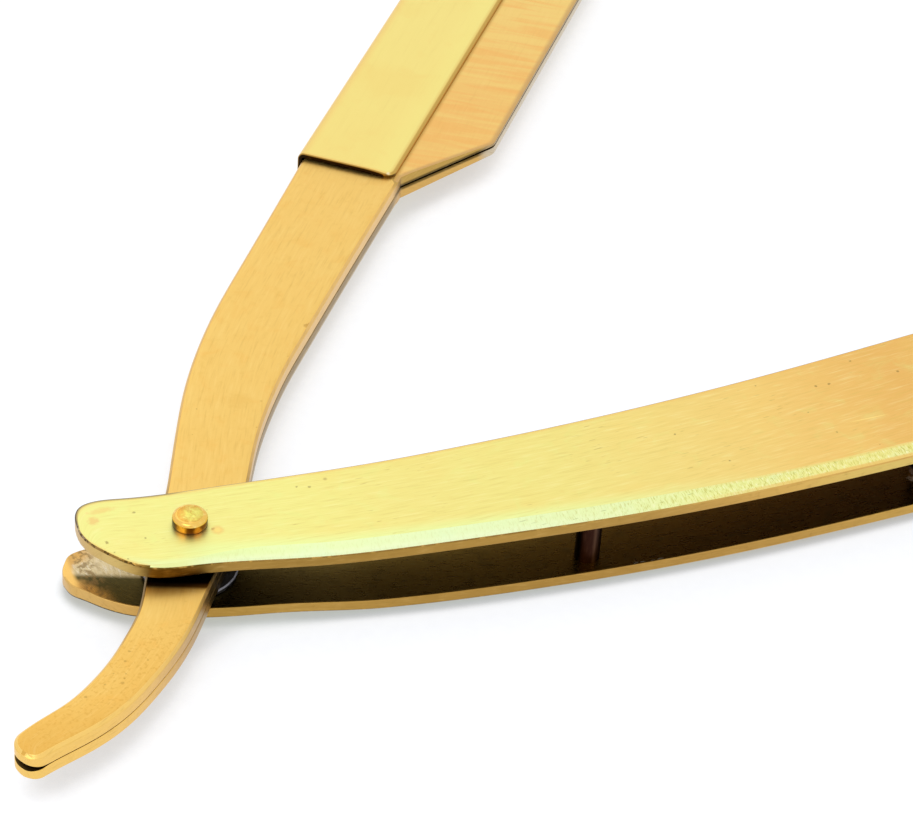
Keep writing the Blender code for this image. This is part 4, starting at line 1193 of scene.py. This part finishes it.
def arm_line():
    """Middle line of the tail and shank: points, square direction, half width and run."""
    knots = [(a * TAIL_REACH, c * SHANK_WIDTH, w * SHANK_WIDTH) for a, c, w in TAIL]
    knots += [(a * HEAD_START, c * SHANK_WIDTH, w * SHANK_WIDTH) for a, c, w in SHANK]
    knots.append((HEAD_START, 0.5 * (SPINE_LINE + FRONT_LINE), SPINE_LINE - FRONT_LINE))
    fine = spline(knots, 4000)
    run = run_of(fine[:, :2])
    near = TAIL_SPINE_CORNER * (1.0 - np.cos(np.linspace(0.0, 0.5 * np.pi, 14)))
    places = np.union1d(near, np.linspace(TAIL_SPINE_CORNER, run[-1], 230))
    places = np.union1d(places, [share * MM for share in (0.06, 0.12, 0.20, 0.26, 0.30, 0.36)])
    middle = np.column_stack([np.interp(places, run, fine[:, i]) for i in range(3)])
    slope = np.gradient(fine[:, :2], run, axis=0)
    tangent = np.column_stack([np.interp(places, run, slope[:, i]) for i in range(2)])
    tangent /= np.linalg.norm(tangent, axis=1)[:, None]
    tangent[-1] = (1.0, 0.0)
    return middle[:, :2], np.column_stack([-tangent[:, 1], tangent[:, 0]]), 0.5 * middle[:, 2], places


def band_corners(side):
    """Six corners of each section of the tail and shank.

    The chamfer is 0.30 mm at the tail's end and 0.22 mm from the pivot on, and the halves
    part at the end: spread = most * (1 - run / reach) squared.
    """
    middle, square, half, run = arm_line()
    chamfer = (0.30 - 0.08 * smooth_step(run / TAIL_REACH)) * MM
    level = np.clip(run, TAIL_LEVEL, chamfer)
    spread = TAIL_SPREAD * np.clip(1.0 - run / TAIL_SPREAD_REACH, 0.0, 1.0) ** 2
    rows = []
    for toward, corner in ((1.0, TAIL_SPINE_CORNER), (-1.0, TAIL_FRONT_CORNER)):
        sag = corner_sag(run, corner)
        inset = np.maximum(level + corner_sag(run - level, corner - level), sag + TAIL_LEVEL)
        rows += [middle + square * (toward * (half - sag))[:, None],
                 middle + square * (toward * (half - inset))[:, None]]
    spine, spine_face, front, front_face = rows
    seam, shoulder, roof = HALF_SEAM + spread, HALF_TOP - chamfer, HALF_TOP - chamfer + level
    order = ((spine, seam), (spine, shoulder), (spine_face, roof),
             (front_face, roof), (front, shoulder), (front, seam))
    return np.stack([np.column_stack([xy, side * z]) for xy, z in order], axis=1)


# %% [markdown]
# ## Head
# The head is straight, so its sections stand at even steps across it. More of them are put
# where the heel, the toe and the spine turn a corner, so that each corner stays round.

# %% Helpers: head
def arc_between(before, corner, after, radius, steps=12):
    """Points of the arc that rounds a corner between two straight lines."""
    before, corner, after = (np.asarray(p, dtype=float) for p in (before, corner, after))
    back = (before - corner) / np.linalg.norm(before - corner)
    on = (after - corner) / np.linalg.norm(after - corner)
    half = 0.5 * math.acos(float(np.clip(back @ on, -1.0, 1.0)))
    centre = corner + (back + on) / np.linalg.norm(back + on) * radius / math.sin(half)
    start = corner + back * radius / math.tan(half) - centre
    end = corner + on * radius / math.tan(half) - centre
    first = math.atan2(start[1], start[0])
    swing = (math.atan2(end[1], end[0]) - first + math.pi) % (2.0 * math.pi) - math.pi
    angle = first + swing * np.linspace(0.0, 1.0, steps + 1)
    return centre + radius * np.column_stack([np.cos(angle), np.sin(angle)])


def head_corners(side):
    """Six corners of each section of the head, along the heel, the edge and the toe.

    Past the clip's front line the face falls evenly to the edge:
    height = top - fall * (clip front - across).
    """
    thick, eased_rim = EDGE_SHAPE[side]
    root, heel, toe = (HEEL_ROOT, FRONT_LINE), (HEEL, EDGE_LINE), (TOE, EDGE_LINE)
    toe_spine = (TOE, SPINE_LINE)
    front = np.concatenate([[(HEAD_START, FRONT_LINE), root],
                            arc_between(root, heel, toe, HEEL_CORNER),
                            arc_between(heel, toe, toe_spine, TOE_CORNER)])
    spine = np.concatenate([[(HEAD_START, SPINE_LINE)],
                            arc_between((HEAD_START, SPINE_LINE), toe_spine, toe, SPINE_CORNER)])
    along = np.union1d(np.concatenate([np.round(front[:, 0], 9), np.round(spine[:, 0], 9)]),
                       np.linspace(HEAD_START, TOE - 3.2 * MM, 110))[1:]
    spine_y = np.interp(along, spine[:, 0], spine[:, 1])
    front_y = np.interp(along, front[:, 0], front[:, 1])
    fall = (HALF_TOP - thick) / (CLIP_FRONT - EDGE_LINE)
    crease = np.maximum(CLIP_FRONT, front_y + CHAMFER)
    edge_top = np.minimum(HALF_TOP - eased_rim, HALF_TOP - fall * (CLIP_FRONT - front_y))
    pocket = HALF_SEAM + POCKET * smooth_step((along - HEEL_ROOT) / (0.5 * MM) + 1.0)
    flat = np.ones_like(along)
    order = ((along, spine_y, HALF_SEAM * flat), (along, spine_y, (HALF_TOP - CHAMFER) * flat),
             (along, spine_y - CHAMFER, HALF_TOP * flat), (along, crease, HALF_TOP * flat),
             (along, front_y, edge_top), (along, front_y, pocket))
    return np.stack([np.column_stack([x, y, side * z]) for x, y, z in order], axis=1)


# %% [markdown]
# ## One half
# Tail, shank and head share the same six corners, so they join into one grid. It is built
# along the arm and then turned by the arm's angle about the pivot.

# %% Helpers: one half
def to_row(points):
    """From the arm's frame to the row frame: turn about the pivot, lift to the seam."""
    turned = points.copy()
    turned[..., 0] = points[..., 0] * math.cos(ARM_ANGLE) - points[..., 1] * math.sin(ARM_ANGLE)
    turned[..., 1] = points[..., 0] * math.sin(ARM_ANGLE) + points[..., 1] * math.cos(ARM_ANGLE)
    turned[..., 2] = points[..., 2] + SEAM
    return turned


def arm_half(name, node, side):
    """One half of the arm, in place; its distances are from the spine's and the front's edge."""
    band, head = band_corners(side), head_corners(side)
    corners = np.concatenate([band, head])
    sections, owner = eased(corners, CORNER_EASES, CORNER_FILLS)
    zone = np.where(owner >= 0, SIDE_ZONES[np.maximum(owner, 0)], FILED)
    zones = np.tile(zone, (len(sections) - 1, 1))
    of_head = np.arange(len(zones)) >= len(band)
    zones[np.ix_(of_head, owner == 3)] = JAW
    gap = np.minimum(*[np.linalg.norm(sections[..., :2] - corners[:, k, :2][:, None], axis=2)
                       for k in (1, 4)]) / MM
    piece = closed_grid(name, to_row(sections), zones, {"edge_gap": gap}, ARM_MATERIALS,
                        capped=True, cap_zone=FILED)
    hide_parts(node)
    return piece


# %% [markdown]
# ## Turning and boring
# What was turned on a lathe is a profile turned about a line. The hole for the rivet is cut
# last, with a Boolean, as a drill would go through the finished plate.

# %% Helpers: turn and bore
def turned_grid(name, profile, place_xy, materials, zones=0, segments=96):
    """A profile of (radius, height) turned about an upright line.

    The points are (x + r cos a, y + r sin a, z), for every profile point and angle.
    """
    profile = np.asarray(profile, dtype=float)
    angle = np.linspace(0.0, 2.0 * np.pi, segments, endpoint=False)
    radius, height = profile[:, :1], profile[:, 1:2]
    points = np.stack([place_xy[0] + radius * np.cos(angle), place_xy[1] + radius * np.sin(angle),
                       height + 0.0 * angle], axis=-1)
    zone = zones if np.ndim(zones) == 0 else np.asarray(zones)[:, None]
    return closed_grid(name, points, zone, {"edge_gap": np.ones(segments)}, materials)


def bore(piece, radius):
    """Cut an upright hole at the pivot with a Boolean, and keep the cut mesh."""
    tall = 12.0 * MM
    rod = [(0.0, -tall), (radius, -tall), (radius, tall), (0.0, tall)]
    cutter = turned_grid("bore_cutter", rod, (0.0, 0.0), [], segments=64)
    step = piece.modifiers.new("bore", "BOOLEAN")
    step.operation, step.solver, step.object = "DIFFERENCE", "EXACT", cutter
    worked_out = piece.evaluated_get(bpy.context.evaluated_depsgraph_get())
    cut_mesh = bpy.data.meshes.new_from_object(worked_out)
    piece.modifiers.clear()
    piece.data = cut_mesh
    bpy.data.objects.remove(cutter)
    print(piece.name, "bored:", len(cut_mesh.polygons), "faces")


# %% Build and bore the halves
BORE_RADIUS = 1.25 * MM
for half_name, half_node, side, half_body in (
        ("upper_arm_plate", "upper_arm_half", 1, "upper_arm"),
        ("lower_arm_plate", "lower_arm_half", -1, "holder")):
    half_piece = arm_half(half_name, half_node, side)
    bore(half_piece, BORE_RADIUS)
    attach(half_piece, half_body)

# %% [markdown]
# ## The spine clip
# The clip is one sheet folded round the spine into a long U. Its section is carried along
# the spine, and near both ends the front lips draw back round a corner and the sheet's own
# edges are eased.

# %% Build the clip
CLIP_START = 64.3 * MM
CLIP_GAP = 0.18 * MM
SHEET = 0.45 * MM
CLIP_END = TOE - 2.9 * MM
CLIP_CORNER = 1.1 * MM
CLIP_BEND = 0.35 * MM
CLIP_EASE = 0.10 * MM
LIP_RADIUS, LIP_FLAT, INNER_LIP_FLAT = 0.24 * MM, 0.30 * MM, 0.06 * MM
LIP_LEAN, LIP_LEAN_REACH = 0.20 * MM, 2.6 * MM


def clip_skin(front, radius, front_in, drop):
    """Front lip points, a straight cheek, then the bend, for the upper side of a skin."""
    centre_y, centre_z = SPINE_LINE + CLIP_GAP - CLIP_BEND, HALF_TOP + CLIP_GAP - CLIP_BEND
    bend = np.linspace(0.5 * np.pi, 0.0, 10)
    cheek = np.linspace(0.0, 1.0, 14)[1:-1]
    top = centre_z + radius
    start = front + front_in[-1]
    y = np.concatenate([front + front_in, start + (centre_y - start) * cheek,
                        centre_y + radius * np.cos(bend)], axis=1)
    z = np.concatenate([top - drop, top * np.ones((len(front), len(cheek))),
                        centre_z + radius * np.sin(bend)], axis=1)
    return y, z


def clip_piece():
    """The U of the clip at each station: outer skin, then inner skin, as one ring.

    Its front lips lean on the jaws: fall = lean * (1 - distance from the lip / reach) squared.
    """
    corner_places = CLIP_CORNER * (1.0 - np.cos(np.linspace(0.0, 0.5 * np.pi, 16)))
    near = np.union1d(corner_places, np.array((0.0, 0.02, 0.05, 0.09, 0.13)) * MM)
    along = np.union1d(np.union1d(CLIP_START + near, CLIP_END - near),
                       np.linspace(CLIP_START + CLIP_CORNER, CLIP_END - CLIP_CORNER, 90))[:, None]
    distance = np.minimum(along - CLIP_START, CLIP_END - along)
    front = CLIP_FRONT + corner_sag(distance, CLIP_CORNER)
    lip_in, lip_down = quarter(LIP_RADIUS, 6)
    outer_y, outer_z = clip_skin(front, CLIP_BEND + SHEET - corner_sag(distance, CLIP_EASE),
                                 np.append(lip_in[::-1], LIP_FLAT), np.append(lip_down[::-1], 0.0))
    inner_y, inner_z = clip_skin(front, CLIP_BEND + 0.0 * along, np.array((0.0, INNER_LIP_FLAT)),
                                 np.zeros(2))
    y = np.concatenate([outer_y, outer_y[:, ::-1], inner_y, inner_y[:, ::-1]], axis=1)
    z = np.concatenate([outer_z, -outer_z[:, ::-1], -inner_z, inner_z[:, ::-1]], axis=1)
    lean = np.clip(1.0 - (y - front) / LIP_LEAN_REACH, 0.0, 1.0) ** 2
    points = np.stack([along + 0.0 * y, y, z - np.sign(z) * LIP_LEAN * lean], axis=-1)
    outside = 2 * outer_y.shape[1]
    zones = np.where(np.arange(points.shape[1]) < outside - 1, CHEEK, CUT)
    zones[[0, 1, outside - 3, outside - 2, outside - 1, -1]] = FOLDED_LIP
    gaps = {"edge_gap": distance / MM, "front_gap": (y - front) / MM}
    piece = closed_grid("spine_clip_sheet", to_row(points), zones, gaps, CLIP_MATERIALS, capped=True,
                        cap_zone=CUT)
    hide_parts("spine_clip")
    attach(piece, "holder")


clip_piece()

# %% [markdown]
# ## Rivet, washers, pins and studs
# All of these were turned on a lathe, so each is a profile turned about its own axis. The
# rivet's head is low, with a rounded rim, and its top has small hammer flats and a painted
# highlight. The washers are smoky nylon, with a painted highlight on their rims. The pins are
# plain brown rods that keep the scales apart, with painted shade and highlight round them.

# %% Materials: rivet
RIVET_CROWN_Z, RIVET_SIDE_Z = 9.15, 8.3
# What shows in the side of the rivet's head: place, radius and colour.
RIVET_REFLECTIONS = ((-1.72, 0.1, 0.85, (26, 14, 4)), (-1.25, -1.2, 0.75, (240, 172, 72)),
                     (-0.55, -1.66, 0.6, (96, 52, 10)), (0.25, -1.72, 0.55, (222, 146, 54)),
                     (1.6, -0.7, 0.85, (64, 38, 10)))


def rivet_top():
    """Polished crown: orange gold round a greenish yellow middle that is a painted highlight, with soft
    hammer marks.
    """
    gold = Finish("rivet_top_gold", 0.18)
    gold.drift([(0.0, (220, 168, 74)), (1.0, (220, 168, 74))])
    # Painted highlight: the crown's greenish yellow middle.
    gold.spot((0.3, -0.1, RIVET_CROWN_Z), 1.5, (230, 222, 110), 0.95, (1.0, 1.15, 1.0), 0.25)
    gold.patches((244, 234, 136), 0.5, 0.6, 0.5, 0.72)
    gold.patches((206, 140, 52), 0.55, 0.45, 0.5, 0.72, 0.6)
    gold.height = noise(gold.tree, gold.object, 900.0, 2.0)
    return gold.done(bump_mm=0.03)


def rivet_rim():
    """Rounded rim of the rivet, the brightest gold."""
    gold = Finish("rivet_rim_gold", 0.2)
    gold.drift([(0.0, (240, 186, 92)), (0.4, (244, 200, 100)), (1.0, (232, 190, 92))], low=-0.0018,
               high=0.0018)
    gold.patches((255, 232, 150), 0.6, 0.5, 0.5, 0.75)
    gold.patches((214, 140, 50), 0.5, 0.4, 0.55, 0.8, 0.5)
    return gold.done()


def rivet_wall():
    """Side of the rivet's head: brown, with orange where the scale shows in it."""
    gold = Finish("rivet_wall_gold", 0.25)
    gold.drift([(0.0, (128, 80, 26)), (1.0, (128, 80, 26))])
    for x, y, radius, colour in RIVET_REFLECTIONS:
        gold.spot((x, y, RIVET_SIDE_Z), radius, colour, 0.95, (1.0, 1.0, 0.5))
    gold.patches((60, 34, 8), 0.5, 0.35, 0.5, 0.8)
    return gold.done()


# %% Materials: pins and washers
# Painted shade and a painted highlight line round a pin, from share 0 to 1 of the part of its turn that
# shows.
PIN_PAINTED_SHADING = ((0.0, (10, 6, 3)), (0.26, (12, 7, 4)), (0.36, (44, 22, 14)), (0.58, (50, 26, 17)),
             (0.64, (84, 58, 42)), (0.71, (42, 20, 12)), (0.86, (30, 14, 8)), (0.95, (8, 4, 2)))


def pin_brown():
    """Dull brown rod with painted shading round it: dark sides and a paler painted highlight line."""
    brown = Finish("pin_brown_metal", 0.35)
    share = share_of(brown.tree, part_of(brown.tree, brown.along, Y), 0.0032, 0.0076)
    brown.colour = colour_ramp(brown.tree, share, PIN_PAINTED_SHADING, "LINEAR")
    brown.patches((58, 32, 20), 0.4, 0.7, 0.5, 0.8)
    brown.grain(5.0, 2.0, 0.25, (96, 66, 48), (20, 10, 6), 0.5)
    # Painted highlight on the lit side of the heel stop pin.
    brown.spot((74.3, -7.7, 1.9), 0.8, (246, 226, 214), 0.9)
    return brown.done(bump_mm=0.01)


def nylon(name, colour, light, roughness):
    """Smoky nylon, a little uneven."""
    smoke = Finish(name, roughness)
    smoke.drift([(0.0, colour), (1.0, colour)])
    smoke.patches(light, 0.6, 0.8, 0.45, 0.75)
    smoke.patches((20, 20, 22), 0.3, 0.3, 0.55, 0.8, 0.5)
    return smoke.done(metallic=0.0)


CROWN, SIDE, HEAD_RIM = range(3)
RIVET_MATERIALS = [rivet_top(), rivet_wall(), rivet_rim()]
PIN_MATERIALS = [pin_brown()]
RING_FACE, RING_EDGE = range(2)
# The flats' near black is smoky nylon kept dark as a painted reflection; the rims' pale grey is a
# painted highlight.
WASHER_MATERIALS = [nylon("washer_nylon_flat", (40, 38, 38), (60, 58, 60), 0.3),
                    nylon("washer_nylon_rim_painted_highlight", (150, 150, 160), (176, 176, 188), 0.4)]
print("small finishes:", [m.name for m in RIVET_MATERIALS + PIN_MATERIALS + WASHER_MATERIALS])


# %% Helpers: turned pieces
def rod_profile(radius, low, high, rounding):
    """Rod with two rounded rims, closed on its axis at both ends."""
    inside, down = quarter(rounding, 5)
    rise = np.linspace(low + rounding, high - rounding, 8)[1:-1]
    foot = np.column_stack([radius - inside, low + down])
    head = np.column_stack([radius - inside[::-1], high - down[::-1]])
    wall = np.column_stack([np.full(len(rise), radius), rise])
    lower_end = np.array([(0.0, low), (0.55 * radius, low)])
    upper_end = np.array([(0.55 * radius, high), (0.0, high)])
    return np.concatenate([lower_end, foot, wall, head, upper_end])


def small_piece(name, node, profile, place_xy, materials, body, zones=0):
    """A turned piece that stands for its node."""
    piece = turned_grid(name, profile, place_xy, materials, zones)
    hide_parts(node)
    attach(piece, body)


# %% [markdown]
# ## The rivet
# The rivet was hammered over at both ends. Its profile runs from the middle of the lower
# head out, up the shank and back in over the upper head, which stands a little taller.

# %% Build the rivet
HEAD_SEAT, HEAD_RADIUS, HEAD_ROUNDING, HEAD_EASE = 3.55 * MM, 1.71 * MM, 0.45 * MM, 0.03 * MM
UPPER_HEAD, LOWER_HEAD = 1.15 * MM, 0.95 * MM
SHANK_RADIUS = 1.2 * MM


def rivet_head(tall):
    """Half profile of a head, from the shank over its seat, wall and rim to the crown."""
    inside, down = quarter(HEAD_ROUNDING, 8)
    half = [(SHANK_RADIUS, HEAD_SEAT), (HEAD_RADIUS - HEAD_EASE, HEAD_SEAT),
            (HEAD_RADIUS, HEAD_SEAT + HEAD_EASE), (HEAD_RADIUS, HEAD_SEAT + 0.3 * tall)]
    half += list(zip(HEAD_RADIUS - inside[::-1], HEAD_SEAT + tall - down[::-1] - 0.02 * MM))
    crown = HEAD_SEAT + tall
    return np.array(half + [(0.9 * MM, crown - 0.01 * MM), (0.4 * MM, crown), (0.0, crown)])


def rivet_profile():
    """Low head, shank and low head, and the zone of each band of faces along them."""
    upper, lower = rivet_head(UPPER_HEAD), rivet_head(LOWER_HEAD)[::-1] * (1.0, -1.0)
    of_half = np.repeat((SIDE, HEAD_RIM, CROWN), (5, 7, 3))
    zones = np.concatenate([of_half[::-1], [SIDE], of_half])
    return np.concatenate([lower, upper]) + (0.0, SEAM), zones


rivet_line, rivet_zones = rivet_profile()
small_piece("rivet_turned", "pivot_rivet", rivet_line, (0.0, 0.0), RIVET_MATERIALS,
            "handle", rivet_zones)

# %% [markdown]
# ## Washers, pins and studs
# A washer is a rod's profile whose inner points stop at the bore. The pins and studs stand
# where the frame has them, so their boxes give place and height.

# %% Build the washers
WASHER_MIDDLE, WASHER_HALF, WASHER_ROUNDING = 1.825 * MM, 0.275 * MM, 0.12 * MM
for washer, side in (("upper_washer", 1), ("lower_washer", -1)):
    middle = SEAM + side * WASHER_MIDDLE
    ring = rod_profile(WASHER_RADIUS, middle - WASHER_HALF, middle + WASHER_HALF, WASHER_ROUNDING)
    ring[:, 0] = np.maximum(ring[:, 0], BORE_RADIUS)
    ring = np.concatenate([ring, ring[:1]])
    band_of_ring = np.arange(len(ring) - 1)
    ring_zones = np.where((band_of_ring > 12) & (band_of_ring < 19), RING_EDGE, RING_FACE)
    small_piece(washer + "_ring", washer, ring, (0.0, 0.0), WASHER_MATERIALS,
                "handle", ring_zones)

# %% Build the pins and studs
PIN_RADIUS, PIN_ROUNDING = 1.25 * MM, 0.15 * MM
STUD_RADIUS, STUD_ROUNDING = 0.9 * MM, 0.06 * MM
PIN_LOOK = (PIN_RADIUS, PIN_ROUNDING, "handle", PIN_MATERIALS, "pin_metal")
STUD_LOOK = (STUD_RADIUS, STUD_ROUNDING, "holder", RIVET_MATERIALS[HEAD_RIM:], "rivet_gold")
RODS = {"spacer_pin": PIN_LOOK, "heel_stop_pin": PIN_LOOK, "butt_pin": PIN_LOOK,
        "blade_stud_heel": STUD_LOOK, "blade_stud_toe": STUD_LOOK}
for rod, (radius, rounding, body, finish, slot_name) in RODS.items():
    low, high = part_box(rod)
    centre = (0.5 * (low[0] + high[0]), 0.5 * (low[1] + high[1]))
    print(rod, "stands at", [round(1000 * v, 2) for v in centre], "mm")
    small_piece(rod + "_turned", rod, rod_profile(radius, low[2], high[2], rounding), centre,
                finish, body)


# %% [markdown]
# ## Floor
# The razor lies on white paper. In such pictures the paper is exposed until it is pure
# white, and only the shadow under the object stays. The sheet does the same: it takes the
# light and the shadow, and a constant glow is added for the rays that look at it.

# %% Material: white paper
PAPER_TONES = ((0.32, 0.337, 0.375, 1.0), (0.34, 0.357, 0.395, 1.0))
PAPER_GLOW = (0.70, 0.70, 0.70, 1.0)
BLACK = (0.0, 0.0, 0.0, 1.0)
# Two reaches of the contact shadow: distance, and the openness between which it fades out.
CONTACTS = ((1.45 * MM, 0.55, 0.98), (5.0 * MM, 0.48, 0.80))
CONTACT_DARKEST = 0.74


def openness(tree, reach):
    """How open the paper is to the sky within a reach: 0 closed, 1 open."""
    return place(tree, "ShaderNodeAmbientOcclusion", {"Distance": reach}, samples=16).outputs["AO"]


def paper_material():
    """White paper with a contact shadow.

    What the camera and the metal see of it is its shaded colour plus a constant glow, so
    that paper in full light is white and only the shadow near the razor stays grey.
    """
    paper = bpy.data.materials.new("white_paper")
    paper.use_nodes = True
    tree = paper.node_tree
    here = place(tree, "ShaderNodeTexCoord").outputs["Object"]
    colour = blend_colour(tree, remap(tree, noise(tree, here, 900.0, 4.0), 0.3, 0.7), *PAPER_TONES)
    shade = times(tree, *[remap(tree, openness(tree, reach), low, high, CONTACT_DARKEST, 1.0)
                          for reach, low, high in CONTACTS])
    ray = place(tree, "ShaderNodeLightPath").outputs
    reflected = arith(tree, "MAXIMUM", ray["Is Glossy Ray"], ray["Is Transmission Ray"])
    seen_share = arith(tree, "MAXIMUM", reflected, times(tree, ray["Is Camera Ray"], shade))
    shader = tree.nodes["Principled BSDF"].inputs
    tree.links.new(blend_colour(tree, shade, BLACK, colour), shader["Base Color"])
    tree.links.new(blend_colour(tree, seen_share, BLACK, PAPER_GLOW), shader["Emission Color"])
    for label, value in {"Emission Strength": 1.0, "Roughness": 0.9, "Specular IOR Level": 0.0}.items():
        shader[label].default_value = value
    return paper


# %% Build the sheet of paper
PAPER_X, PAPER_Y, PAPER_Z = np.linspace(-1.2, 1.3, 40), np.linspace(-1.2, 1.4, 60), -0.02 * MM


def paper_sheet():
    """Flat white paper a hair below the razor."""
    x, y = np.meshgrid(PAPER_X, PAPER_Y, indexing="ij")
    points = np.stack([x, y, np.full_like(x, PAPER_Z)], axis=-1)
    index = np.arange(x.size).reshape(x.shape)
    quads = np.stack([index[:-1, :-1], index[1:, :-1], index[1:, 1:], index[:-1, 1:]], axis=-1)
    mesh = bpy.data.meshes.new("paper_sheet")
    mesh.from_pydata(points.reshape(-1, 3), [], quads.reshape(-1, 4))
    mesh.materials.append(paper_material())
    floor = bpy.data.objects.new("paper_sheet", mesh)
    bpy.context.scene.collection.objects.link(floor)


paper_sheet()
